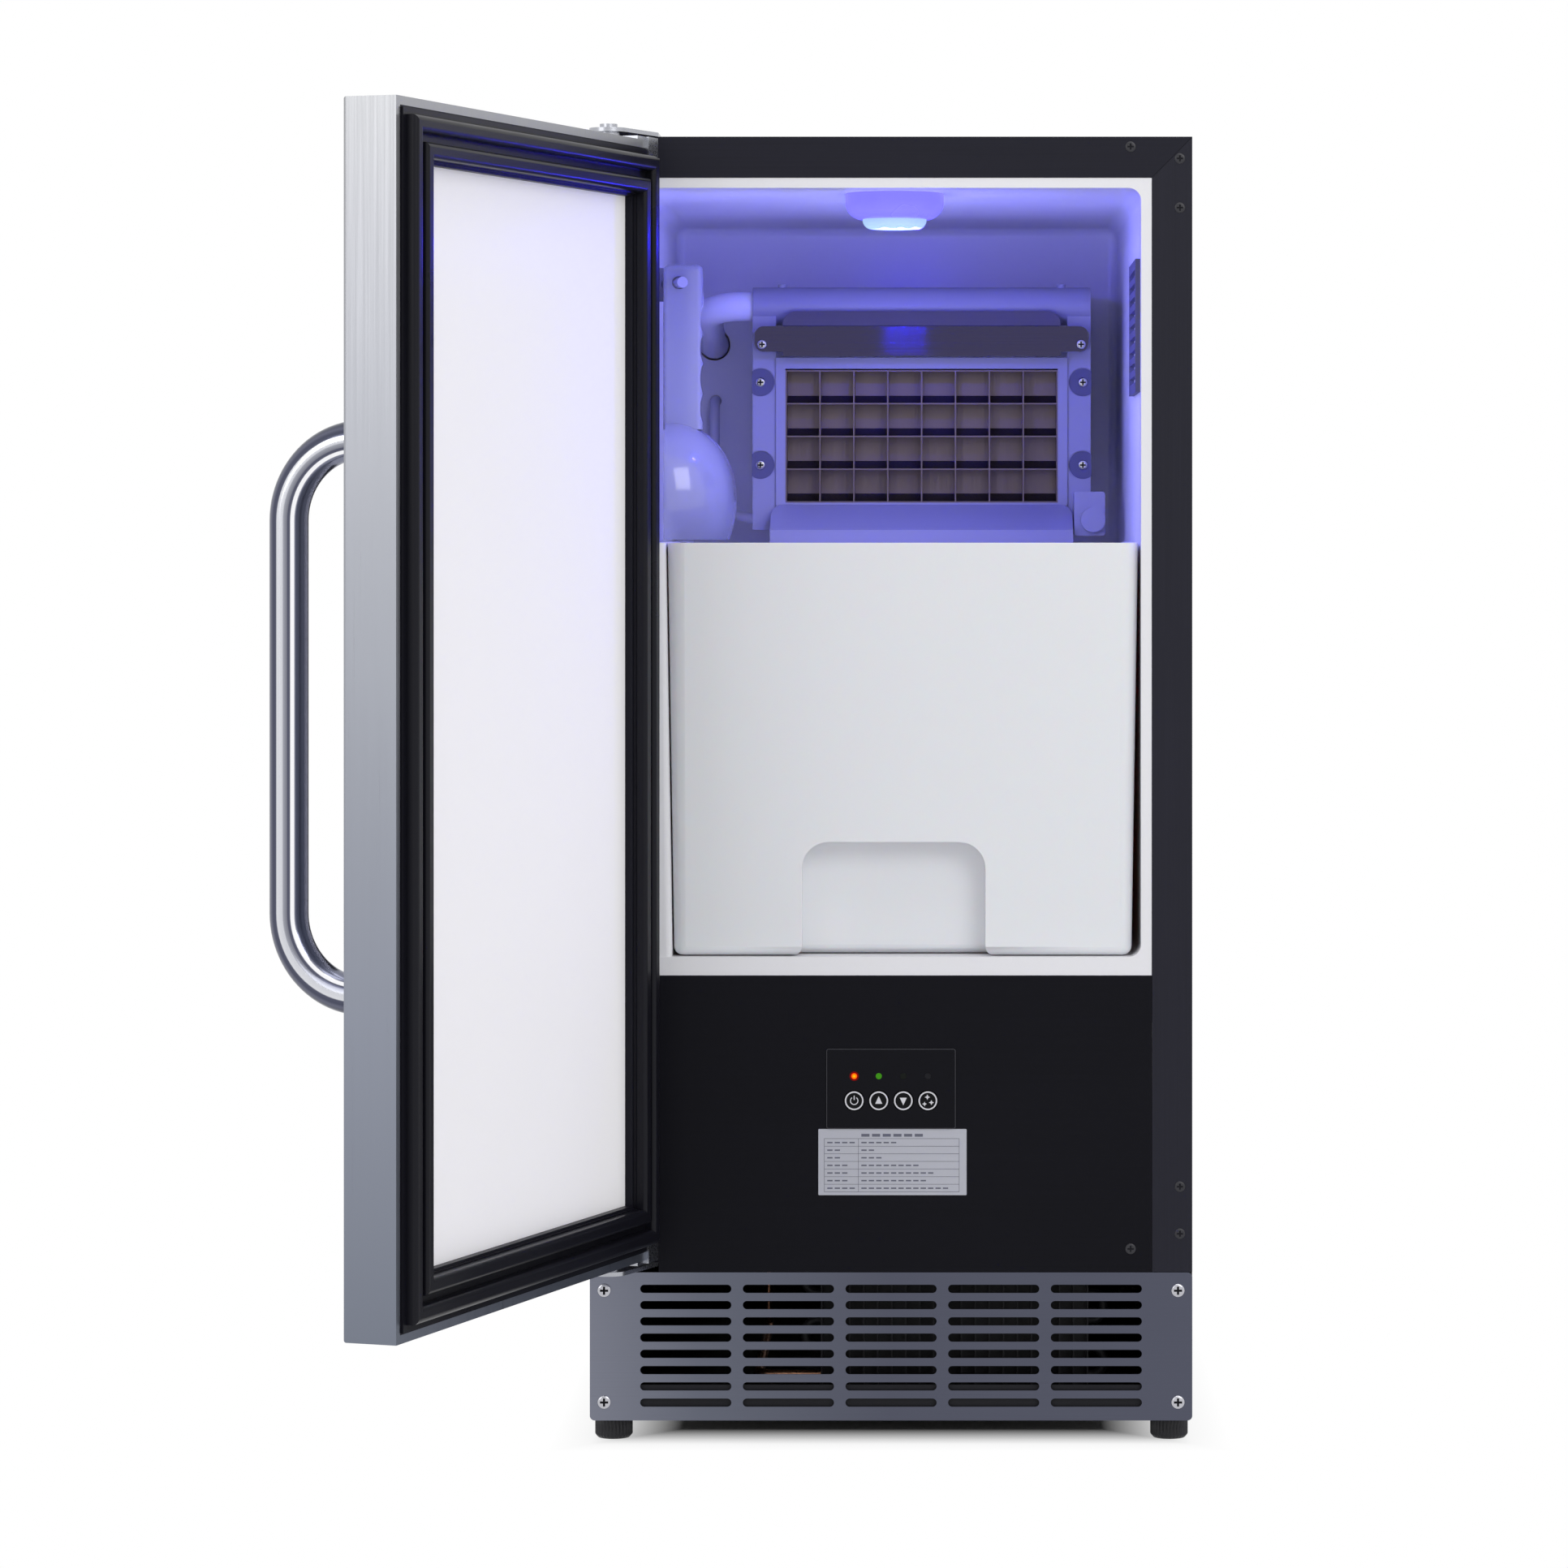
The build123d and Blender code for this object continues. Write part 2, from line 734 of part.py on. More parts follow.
def wall_holes(gap):
    """Ways through the back wall for the hose, the fill tube and the coil's two ends."""
    y0, y1 = cavity_d - 1, wall_y + port_depth
    ways = rod((port_x, y0, port_z), (port_x, y1, port_z), hose_r + gap + port_gap)
    ways += rod((fill_x, y0, fill_port_z), (fill_x, wall_y + 1, fill_port_z), fill_r + gap)
    ways += rod((coil_x1, y0, coil_z0), (coil_x1, wall_y + 1, coil_z0), coil_r + gap)
    return ways + rod((coil_x1 + coil_stagger, y0, coil_z1), (coil_x1 + coil_stagger, wall_y + 1, coil_z1),
                      coil_r + gap)


def cavity_liner():
    """White moulded cavity with a rim round its mouth and a rail along the bin's left side."""
    edge = panel_x - fit
    rim = slab(-edge, edge, rim_set_back, rim_set_back + liner_t, fascia_top + fit, opening_top - fit)
    liner = rim + cavity_space(liner_t, rim_set_back) - cavity_space(0, -1)
    foot_z = cav_z0 - liner_t
    drawn_in = (bin_top_z - foot_z) * tan(radians(bin_draft))
    outline = Polygon((-cav_x - liner_t, foot_z), (-cav_x + guide_w + drawn_in, foot_z),
                      (-cav_x + guide_w, bin_top_z), (-cav_x - liner_t, bin_top_z), align=None)
    rail = front_plate(outline, bin_front_y, bin_y1)
    front_edge = rail.faces().sort_by(Axis.Y)[0].edges().sort_by(Axis.X)[-1]
    rail = fillet(front_edge, guide_edge_r) & cavity_space(liner_t / 2, 0)
    return liner + rail - wall_holes(wall_hole_gap)


def pipe_chases():
    """Channels in the rear insulation for the refrigerant risers and the fill tube."""
    riser = slab(coil_x1 - coil_r - chase_margin, coil_x1 + coil_stagger + coil_r + chase_margin,
                 wall_y - 1, wall_y + chase_d, foam_z0 - 1, coil_z1 + coil_r + chase_margin)
    fill = slab(fill_x - fill_r - chase_margin, fill_x + fill_r + chase_margin,
                wall_y - 1, wall_y + chase_d, foam_z0 - 1, fill_port_z + fill_r + chase_margin)
    return riser + fill


def foam_insulation():
    """Foam between the liner and the casing."""
    foam = slab(-inner_x, inner_x, trim_t + trim_return + fit, cabinet_d - skin, foam_z0, cabinet_h - skin)
    foam -= cavity_space(liner_t, 0)
    foam -= rod((port_x, wall_y - 1, port_z), (port_x, wall_y + port_depth, port_z), hose_r + port_gap)
    return foam - pipe_chases()


def lamp_housing():
    """Round body of the lamp, seated on the cavity's ceiling."""
    body = rod((lamp_x, lamp_y, cav_z1 - lamp_body_h), (lamp_x, lamp_y, cav_z1), lamp_r)
    return fillet(body.edges().filter_by(GeomType.CIRCLE).group_by(Axis.Z)[0], lamp_edge_r)


def lamp_lens():
    """Domed lens under the lamp's body."""
    z = cav_z1 - lamp_body_h
    lens = rod((lamp_x, lamp_y, z - lens_drop), (lamp_x, lamp_y, z), lens_r)
    return fillet(lens.edges().filter_by(GeomType.CIRCLE).group_by(Axis.Z)[0], lens_edge_r)


def side_vent():
    """Louvred grate on the right wall of the cavity."""
    vent = slab(cav_x - grate_t, cav_x, grate_y0, grate_y0 + grate_l, grate_z0, grate_z0 + grate_h)
    pitch = grate_h / (grate_bars + 1)
    for bar in range(grate_bars):
        z = grate_z0 + pitch * (bar + 1)
        vent -= slab(cav_x - grate_t - 1, cav_x + 1, grate_y0 + pitch, grate_y0 + grate_l - pitch,
                     z - grate_slot_h / 2, z + grate_slot_h / 2)
    return vent


# ---------------------------------------------------------------- controls
def button_xs():
    """Middles of the four buttons, and of the lights above them."""
    return [(i - (button_n - 1) / 2) * button_pitch for i in range(button_n)]


def control_window(y0, y1):
    """Hole in the fascia behind the overlay."""
    x = overlay_w / 2 - window_margin
    return slab(-x, x, y0, y1, overlay_z + window_margin, overlay_z + overlay_h - window_margin)


def control_overlay():
    """Thin panel on the fascia, with holes for the buttons and the lights."""
    overlay = rounded_panel(-overlay_w / 2, overlay_w / 2, -overlay_t, 0,
                            overlay_z, overlay_z + overlay_h, overlay_corner_r)
    for x in button_xs():
        overlay -= rod((x, -overlay_t - 1, button_z), (x, 1, button_z), button_r + button_gap)
        overlay -= rod((x, -overlay_t - 1, led_z), (x, 1, led_z), led_r + led_gap)
    return overlay


def indicator_lights():
    """Four lights, from the control box to the overlay's surface."""
    y1 = trim_t + control_pocket_d
    return joined(rod((x, -overlay_t - led_gap, led_z), (x, y1, led_z), led_r) for x in button_xs())


def control_box():
    """Electronics box behind the fascia, with a pocket for the buttons."""
    x = overlay_w / 2 - window_margin + control_margin
    z0 = overlay_z + window_margin - control_margin
    z1 = overlay_z + overlay_h - window_margin + control_margin
    box = slab(-x, x, trim_t, trim_t + control_box_d, z0, z1)
    return box - control_window(trim_t - 1, trim_t + control_pocket_d)


def button(x):
    """Round push button with a softened front edge."""
    y0 = -overlay_t - button_proud
    cap = rod((x, y0, button_z), (x, y0 + button_len, button_z), button_r)
    return fillet(cap.edges().filter_by(GeomType.CIRCLE).group_by(Axis.Y)[0], button_edge_r)


# ---------------------------------------------------------------- evaporator
def evaporator_grid():
    """Open cells with upright walls and shelves that fall towards the front."""
    y1 = evap_y + cell_depth
    top = evap_z + cells_h
    wall = ((evap_y, evap_z), (y1, evap_z + shelf_drop),
            (y1, top + shelf_drop + cell_wall), (evap_y, top + cell_wall))
    grid = slab(cells_x0 - cell_wall / 2, cells_x1 + cell_wall / 2, y1, y1 + pan_t,
                evap_z + shelf_drop, top + shelf_drop + cell_wall)
    for col in range(cell_cols + 1):
        x = cells_x0 + col * cell_pitch_x
        grid += side_plate(wall, x - cell_wall / 2, x + cell_wall / 2)
    for row in range(cell_rows + 1):
        z = evap_z + row * cell_pitch_z
        shelf = ((evap_y, z), (y1, z + shelf_drop), (y1, z + shelf_drop + cell_wall), (evap_y, z + cell_wall))
        grid += side_plate(shelf, cells_x0 - cell_wall / 2, cells_x1 + cell_wall / 2)
    return grid


def seat_xs():
    """Screws at the two sides of the evaporator."""
    return (bracket_x0 + seat_inset, bracket_x1 - seat_inset)


def evaporator_frame():
    """White surround of the cells and the two brackets that carry it from the back wall."""
    y0 = evap_y - surround_proud
    front = slab(cells_x0 - surround_w, cells_x1 + surround_w, y0, y0 + surround_t,
                 evap_z - surround_bottom, evap_z + cells_h + surround_top)
    slope = shelf_drop * surround_t / cell_depth
    front -= slab(cells_x0 - cell_wall / 2, cells_x1 + cell_wall / 2, y0 - 1, y0 + surround_t + 1,
                  evap_z, evap_z + cells_h + cell_wall + slope)
    edges = ((bracket_x0, bracket_x0 + bracket_t, cells_x0 - surround_w),
             (bracket_x1, bracket_x1 - bracket_t, cells_x1 + surround_w))
    for outer, web, inner in edges:
        x0, x1 = sorted((outer, inner))
        front += slab(x0, x1, flange_y, web_y, trough_top_z, bracket_top_z)
        x0, x1 = sorted((outer, web))
        front += slab(x0, x1, web_y, cavity_d, web_bottom_z, bracket_top_z)
    front -= rod((bracket_x0 - 1, distributor_y, distributor_z),
                 (bracket_x1 + 1, distributor_y, distributor_z), distributor_r + distributor_gap)
    front -= slab(bracket_x0 - 1, bracket_x1 + 1, flange_y - 1, distributor_y + distributor_r + distributor_gap,
                  distributor_z, bracket_top_z + 1)
    for x in seat_xs():
        for z in seat_zs:
            front -= rod((x, flange_y - 1, z), (x, flange_y + seat_sink, z), seat_r)
            front -= shank_hole(x, z, flange_y, web_y)
    return front


def evaporator_coil():
    """Tube that runs four times across the back of the cells and out through the wall."""
    points = [(coil_x1, coil_end_y, coil_z0)]
    ends = (coil_x1, coil_x0)
    for row in range(cell_rows):
        z = coil_z0 + row * cell_pitch_z
        points.append((ends[row % 2], coil_y, z))
        points.append((ends[(row + 1) % 2], coil_y, z))
    points[-1] = (coil_x1 + coil_stagger, coil_y, coil_z1)
    points.append((coil_x1 + coil_stagger, coil_end_y, coil_z1))
    return bar_along(points, coil_r, coil_bend_r)


def distributor_tube():
    """Water tube over the cells, closed at its right end, with two locating nubs."""
    tube = rod((bracket_x0, distributor_y, distributor_z), (bracket_x1, distributor_y, distributor_z),
               distributor_r)
    tube -= rod((bracket_x0 - 1, distributor_y, distributor_z),
                (bracket_x1 - distributor_wall, distributor_y, distributor_z),
                distributor_r - distributor_wall)
    for x in (bracket_x0 + nub_inset, bracket_x1 - nub_inset):
        base = distributor_z + distributor_r - distributor_wall / 2
        tube += rod((x, distributor_y, base), (x, distributor_y, base + distributor_wall / 2 + nub_h), nub_r)
    return tube


def shield_ends():
    """Left and right edges of the splash shield."""
    return bracket_x0 + shield_end_gap, bracket_x1 - shield_end_gap


def shield_screw_places():
    """Screws near the ends of the splash shield, as X and Z."""
    x0, x1 = shield_ends()
    return [(x, shield_z + shield_screw_z) for x in (x0 + shield_screw_inset, x1 - shield_screw_inset)]


def splash_shield():
    """Steel strip in front of the water tube, with a leaning hood above and a hem below."""
    x0, x1 = shield_ends()
    back = shield_y + shield_t
    shield = rounded_panel(x0, x1, shield_y, back, shield_z, shield_z + shield_h, shield_end_r)
    shield += slab(x0 + shield_hem_inset, x1 - shield_hem_inset, shield_y, back,
                   shield_z - shield_hem_h, shield_z + shield_h / 2)
    foot = shield_z + shield_h - shield_t
    hood = ((shield_y, foot), (back, foot), (back + shield_hood_lean, foot + shield_hood_h + shield_t),
            (shield_y + shield_hood_lean, foot + shield_hood_h + shield_t))
    shield += side_plate(hood, x0, x1) & rounded_panel(
        x0 + shield_hood_inset, x1 - shield_hood_inset, shield_y - 1, back + shield_hood_lean + 1,
        shield_z, foot + shield_hood_h + shield_t, shield_hood_r)
    for x, z in shield_screw_places():
        shield += rod((x, back, z), (x, flange_y, z), shield_boss_r)
        shield -= rod((x, shield_y - 1, z), (x, shield_y + screw_l, z), shank_r)
    return shield


# ---------------------------------------------------------------- water circuit
def water_trough():
    """Open trough under the cells, with a slide that sends the ice forward into the bin."""
    y1 = trough_y0 + trough_d
    trough = slab(trough_x0, trough_x1, trough_y0, y1, trough_z0, trough_top_z)
    trough -= slab(trough_x0 + trough_wall, trough_x1 - trough_wall, trough_y0 + trough_wall,
                   y1 - trough_wall, trough_z0 + trough_wall, trough_top_z + 1)
    rear = evap_y - surround_proud - slide_gap
    slope = slide_t * (rear - trough_y0) / slide_rise
    cheek = ((trough_y0, trough_top_z), (rear, trough_top_z), (rear, trough_top_z + slide_rise))
    solid = side_plate(cheek, trough_x0, trough_x1)
    hollow = ((trough_y0 + slope, trough_top_z - 1), (rear + 1, trough_top_z - 1),
              (rear + 1, trough_top_z + slide_rise - slide_t))
    slide = solid - side_plate(hollow, trough_x0 + slide_t, trough_x1 - slide_t)
    crown = rounded_panel(trough_x0, trough_x1, trough_y0 - 1, rear + 1, trough_top_z - 2 * slide_corner_r,
                          trough_top_z + slide_rise, slide_corner_r)
    return trough + (slide & crown)


def pump_motor():
    """Circulation pump at the back of the trough, with its motor on top."""
    y0 = trough_y0 + trough_d
    pump = slab(pump_x - pump_w / 2, pump_x + pump_w / 2, y0, y0 + pump_d, trough_z0, trough_z0 + pump_h)
    pump = fillet(pump.edges().filter_by(Axis.Z), slide_t)
    middle = y0 + pump_d / 2
    top = trough_z0 + pump_h
    return pump + rod((pump_x, middle, top), (pump_x, middle, top + pump_motor_h), pump_motor_r)


def sensor_box():
    """Small control box beside the trough, with a round knob."""
    x0 = trough_x1 + sensor_gap
    y0 = flange_y - sensor_d
    box = rounded_panel(x0, x0 + sensor_w, y0, flange_y, sensor_z, sensor_z + sensor_h, slide_t)
    x = x0 + sensor_w - knob_r
    z = sensor_z + knob_rise
    return box + rod((x, y0 - knob_l, z), (x, y0 + 1, z), knob_r)


def water_hoses():
    """Hose to the distributor, fill tube from the inlet valve, and hose behind the pump."""
    port_end = wall_y + port_depth
    supply = [(bracket_x0, distributor_y, distributor_z), (port_x, distributor_y, distributor_z),
              (port_x, cavity_d - hose_run_in, port_z), (port_x, port_end, port_z)]
    valve_y = cabinet_d - skin - valve_d / 2
    valve_top = inlet_z + valve_h / 2
    chase_y = wall_y + chase_d / 2
    fill = [(inlet_x, valve_y, valve_top), (inlet_x, valve_y, valve_top + fill_bend_r),
            (fill_x, chase_y, foam_z0 - fill_r), (fill_x, chase_y, fill_port_z),
            (fill_x, fill_drop_y, fill_port_z), (fill_x, fill_drop_y, trough_top_z + fill_cross_rise),
            (trough_x0 + fill_end_in, evap_y + fill_end_back, trough_top_z + fill_end_rise)]
    y0 = trough_y0 + trough_d + pump_d
    outlet = rod((pump_x, y0, trough_z0 + pump_h / 2), (pump_x, cavity_d, trough_z0 + pump_h / 2),
                 pump_hose_r)
    return bar_along(supply, hose_r, hose_bend_r) + bar_along(fill, fill_r, fill_bend_r) + outlet


# ---------------------------------------------------------------- machine compartment
def compressor():
    """Welded shell with a seam, a foot plate and two upright pipe stubs."""
    z0 = tray_top + grommet_h + foot_plate_t
    top = z0 + compressor_h
    shell = rod((compressor_x, compressor_y, z0), (compressor_x, compressor_y, top), compressor_r)
    circles = shell.edges().filter_by(GeomType.CIRCLE)
    shell = fillet(circles.group_by(Axis.Z)[-1], shell_top_r)
    shell = fillet(shell.edges().filter_by(GeomType.CIRCLE).group_by(Axis.Z)[0], shell_foot_r)
    seam = z0 + compressor_h / 2
    shell += rod((compressor_x, compressor_y, seam), (compressor_x, compressor_y, seam + seam_h),
                 compressor_r + seam_w)
    shell += slab(compressor_x - foot_plate_w / 2, compressor_x + foot_plate_w / 2,
                  compressor_y - foot_plate_d / 2, compressor_y + foot_plate_d / 2,
                  z0 - foot_plate_t, z0)
    for x, y in stub_places():
        shell += rod((x, y, top - shell_top_r), (x, y, stub_top), stub_r)
    return shell


def stub_places():
    """Suction and discharge stubs on the compressor, as X and Y."""
    return ((coil_x1 + coil_stagger, compressor_y + suction_dy),
            (compressor_x + discharge_dx, compressor_y + discharge_dy))


def compressor_grommets():
    """Four rubber mounts between the tray and the compressor's foot plate."""
    dx = foot_plate_w / 2 - grommet_r
    dy = foot_plate_d / 2 - grommet_r
    return joined(rod((compressor_x + i * dx, compressor_y + j * dy, tray_top),
                      (compressor_x + i * dx, compressor_y + j * dy, tray_top + grommet_h), grommet_r)
                  for i in (-1, 1) for j in (-1, 1))


def condenser_row_z(row):
    """Height of one row of condenser tube."""
    return tray_top + condenser_h * (row + 1) / (condenser_rows + 1)


def condenser():
    """Finned block with return bends at both ends."""
    x1 = condenser_x0 + condenser_w
    middle = condenser_y + condenser_d / 2
    top = tray_top + condenser_h
    block = slab(condenser_x0, x1, middle - condenser_core / 2, middle + condenser_core / 2, tray_top, top)
    pitch = (condenser_w - fin_t) / (fin_n - 1)
    for fin in range(fin_n):
        x = condenser_x0 + fin * pitch
        block += slab(x, x + fin_t, condenser_y, condenser_y + condenser_d, tray_top, top)
    for row in range(condenser_rows - 1):
        x, out = (x1, return_bend_out) if row % 2 == 0 else (condenser_x0, -return_bend_out)
        z0, z1 = condenser_row_z(row), condenser_row_z(row + 1)
        points = ((x, middle, z0), (x + out, middle, z0), (x + out, middle, z1), (x, middle, z1))
        block += bar_along(points, pipe_r, (z1 - z0) / 2 - fin_t)
    return block


def fan_shroud():
    """Box behind the condenser with a round opening for the fan."""
    x1 = condenser_x0 + condenser_w
    top = tray_top + condenser_h
    shroud = slab(condenser_x0, x1, shroud_y, shroud_back, tray_top, top)
    shroud -= slab(condenser_x0 + shroud_t, x1 - shroud_t, shroud_y - 1, shroud_back - shroud_t,
                   tray_top + shroud_t, top - shroud_t)
    return shroud - rod((fan_x, shroud_y, fan_z), (fan_x, shroud_back + 1, fan_z), fan_r + fan_gap)


def fan_motor():
    """Motor on arms that span the shroud's opening, with the shaft that carries the fan."""
    motor = rod((fan_x, motor_y, fan_z), (fan_x, motor_y + motor_l, fan_z), motor_r)
    motor = fillet(motor.edges().filter_by(GeomType.CIRCLE).group_by(Axis.Y)[-1], motor_gap)
    reach = fan_r + fan_gap + arm_over
    arm = slab(0, reach, shroud_back, motor_y, -arm_w / 2, arm_w / 2)
    for i in range(arm_n):
        motor += Pos(fan_x, 0, fan_z) * Rot(0, 360 / arm_n * i + 90, 0) * arm
    return motor + rod((fan_x, fan_y, fan_z), (fan_x, motor_y + 1, fan_z), shaft_r)


def fan_blades():
    """Hub with five twisted blades, trimmed to the fan's radius."""
    sections = ((fan_hub_r - blade_t * 2, blade_root_w, blade_root_pitch), (fan_r, blade_tip_w, blade_tip_pitch))
    faces = []
    for radius, chord, pitch in sections:
        lean = radians(pitch)
        plane = Plane(origin=(radius, 0, 0), x_dir=(0, sin(lean), cos(lean)), z_dir=(1, 0, 0))
        faces.append(plane * Rectangle(chord, blade_t))
    blade = loft(faces)
    hub = rod((0, -fan_depth / 2, 0), (0, fan_depth / 2, 0), fan_hub_r)
    fan = hub
    for i in range(blade_n):
        fan += Rot(0, 360 / blade_n * i, 0) * blade
    fan &= rod((0, -fan_depth / 2, 0), (0, fan_depth / 2, 0), fan_r)
    fan -= rod((0, -shaft_r, 0), (0, fan_depth, 0), shaft_r + shaft_gap)
    return Pos(fan_x, fan_y, fan_z) * fan


def filter_drier():
    """Drier cartridge with a neck at each end."""
    half = drier_l / 2
    neck = half - drier_neck_l
    profile = ((0, -half), (pipe_r * 1.4, -half), (pipe_r * 1.4, -neck - drier_neck_l / 3), (drier_r, -neck),
               (drier_r, neck), (pipe_r * 1.4, neck + drier_neck_l / 3), (pipe_r * 1.4, half), (0, half))
    return turned(profile, drier_x, drier_y, drier_z)


def refrigerant_pipes():
    """Suction, discharge and liquid lines."""
    (suction_x, suction_y), (out_x, out_y) = stub_places()
    suction_z = stub_top + suction_over
    discharge_z = stub_top + discharge_over
    discharge_x = inner_x - discharge_side
    liquid_z = foam_z0 - liquid_drop
    middle = condenser_y + condenser_d / 2
    inlet_row = condenser_row_z(condenser_rows - 1)
    outlet_row = condenser_row_z(0)
    suction = ((suction_x, coil_end_y, coil_z1), (suction_x, riser_y, coil_z1), (suction_x, riser_y, suction_z),
               (suction_x, suction_y, suction_z), (suction_x, suction_y, stub_top))
    discharge = ((out_x, out_y, stub_top), (out_x, out_y, discharge_z), (discharge_x, out_y, discharge_z),
                 (discharge_x, middle, discharge_z), (discharge_x, middle, inlet_row),
                 (condenser_x0 + condenser_w, middle, inlet_row))
    liquid = ((coil_x1, coil_end_y, coil_z0), (coil_x1, riser_y, coil_z0), (coil_x1, riser_y, liquid_z),
              (drier_x, riser_y, liquid_z), (drier_x, drier_y, liquid_z), (drier_x, drier_y, drier_z + drier_l / 2))
    out = ((drier_x, drier_y, drier_z - drier_l / 2), (drier_x, drier_y, outlet_row),
           (drier_x, middle, outlet_row), (condenser_x0, middle, outlet_row))
    return joined(bar_along(points, pipe_r, pipe_bend_r) for points in (suction, discharge, liquid, out))


# ---------------------------------------------------------------- rear connections
def power_block(grow, y0, y1):
    """Outline of the power inlet, larger all round by grow."""
    return slab(power_x - power_w / 2 - grow, power_x + power_w / 2 + grow, y0, y1,
                power_z - power_h / 2 - grow, power_z + power_h / 2 + grow)


def power_inlet():
    """Recessed inlet with three contact blades."""
    y1 = cabinet_d + power_out
    inlet = power_block(0, y1 - power_d, y1) - power_block(-power_wall, y1 - power_cup_d, y1 + 1)
    for dx, dz in ((-power_w / 5, -power_wall), (0, power_wall), (power_w / 5, -power_wall)):
        inlet += slab(power_x + dx - 1, power_x + dx + 1, y1 - power_cup_d - 1, y1 - power_wall,
                      power_z + dz - 2, power_z + dz + 2)
    return inlet


def water_inlet_valve():
    """Valve body inside the rear panel and the inlet that passes through it."""
    y1 = cabinet_d - skin
    valve = slab(inlet_x - valve_w / 2, inlet_x + valve_w / 2, y1 - valve_d, y1,
                 inlet_z - valve_h / 2, inlet_z + valve_h / 2)
    valve = fillet(valve.edges().filter_by(Axis.Y), slide_t)
    valve += rod((inlet_x, y1, inlet_z), (inlet_x, cabinet_d, inlet_z), inlet_r + neck_over)
    valve += rod((inlet_x, y1, inlet_z), (inlet_x, cabinet_d + inlet_out, inlet_z), inlet_r)
    return valve - rod((inlet_x, y1, inlet_z), (inlet_x, cabinet_d + inlet_out + 1, inlet_z), inlet_bore_r)


def drain_spigot():
    """Drain tube with a flange inside the rear panel."""
    y1 = cabinet_d - skin
    spigot = rod((drain_x, y1 - drain_flange_t, drain_z), (drain_x, y1, drain_z), drain_flange_r)
    spigot += rod((drain_x, y1, drain_z), (drain_x, cabinet_d, drain_z), drain_r + neck_over)
    spigot += rod((drain_x, y1, drain_z), (drain_x, cabinet_d + drain_out, drain_z), drain_r)
    return spigot - rod((drain_x, y1 - drain_flange_t - 1, drain_z),
                        (drain_x, cabinet_d + drain_out + 1, drain_z), drain_bore_r)


def foot(x, y):
    """Levelling foot: a hand-sized knob and a stud that screws into the weld nut."""
    top = foot_show - foot_gap
    knob = rod((x, y, 0), (x, y, top), foot_r)
    knob = fillet(knob.edges().filter_by(GeomType.CIRCLE), foot_edge_r)
    return knob + rod((x, y, top - 1), (x, y, top + stud_l), stud_r)


# ---------------------------------------------------------------- bin and scoop
def bin_block(wall, z0, z1):
    """Tapered block of the bin, smaller all round by wall, between two heights."""
    flare = tan(radians(bin_draft))
    shrink = (bin_top_z - z0) * flare + wall
    outline = RectangleRounded(bin_x1 - bin_x0 - 2 * shrink, bin_d - 2 * shrink, bin_corner_r - wall)
    middle = Pos((bin_x0 + bin_x1) / 2, bin_front_y + bin_d / 2, z0)
    return extrude(middle * outline, amount=z1 - z0, taper=-bin_draft)


def grip_space(grow):
    """Finger recess at the bottom of the bin's front, larger by grow."""
    w = grip_w + 2 * grow
    top = bin_z0 + grip_h + grow
    outline = Pos(grip_x, top / 2) * RectangleRounded(w, top, grip_r + grow)
    return front_plate(outline, bin_front_y - 1, bin_front_y + grip_depth + grow)


def ice_bin():
    """Drafted bin with a finger recess and lower walls at the rear."""
    body = bin_block(0, bin_z0, bin_top_z) - grip_space(0)
    body -= bin_block(bin_wall, bin_z0 + bin_wall, bin_top_z + 1) - grip_space(bin_wall)
    low = bin_top_z - bin_rear_drop
    over = bin_top_z + 1
    step = ((bin_step_y, over), (bin_step_y, bin_top_z), (bin_step_y + bin_step_run, low),
            (bin_y1 + 1, low), (bin_y1 + 1, over))
    return body - side_plate(step, bin_x0 - 1, bin_x1 + 1)


def bowl_block(inset):
    """Half bowl, smaller by inset, that bulges away from the wall."""
    curve = Spline((bowl_lip_r - inset, 0), (bowl_r - inset, bowl_belly_z),
                   (bowl_r * 0.8 - inset, bowl_h * 0.78 - inset * 0.5), (bowl_neck_r, bowl_h - inset))
    edges = curve + Polyline((bowl_neck_r, bowl_h - inset), (0, bowl_h - inset), (0, 0),
                             (bowl_lip_r - inset, 0))
    half = revolve(Plane.XZ * make_face(edges), axis=Axis.Z, revolution_arc=180)
    return Pos(bowl_x, scoop_y, scoop_lip_z) * Rot(0, 0, -90) * half


def peg_line(start, end):
    """Points on the axis of the peg, measured ahead of the hang hole."""
    lean = radians(peg_angle)
    return [(hang_x + sin(lean) * t, scoop_y - cos(lean) * t, hang_z) for t in (start, end)]


def ice_scoop():
    """Half-bowl scoop that hangs by its handle, with finger waves and a hang hole."""
    top = scoop_lip_z + bowl_h
    x1 = scoop_x + scoop_handle_w
    handle = slab(scoop_x, x1, scoop_y - scoop_handle_t / 2, scoop_y + scoop_handle_t / 2,
                  top - scoop_wall * 2, scoop_top_z)
    handle = fillet(handle.edges().filter_by(Axis.Z) + handle.faces().sort_by(Axis.Z)[-1].edges(), scoop_edge_r)
    pitch = (scoop_handle_l - scoop_handle_w) / scoop_wave_n
    wave_r = (pitch * pitch / 4 + scoop_wave * scoop_wave) / (2 * scoop_wave)
    for i in range(scoop_wave_n):
        z = top + pitch * (i + 0.5)
        x = x1 - scoop_wave + wave_r
        handle -= rod((x, scoop_y - scoop_handle_t, z), (x, scoop_y + scoop_handle_t, z), wave_r)
    handle -= slab(scoop_x - 1, scoop_x + scoop_groove_d, scoop_y - scoop_groove_w / 2,
                   scoop_y + scoop_groove_w / 2, top, hang_z - scoop_handle_t)
    scoop = bowl_block(0) - bowl_block(scoop_wall) + handle
    return scoop - rod(*peg_line(-scoop_handle_w * 2, scoop_handle_w * 2), hang_r)


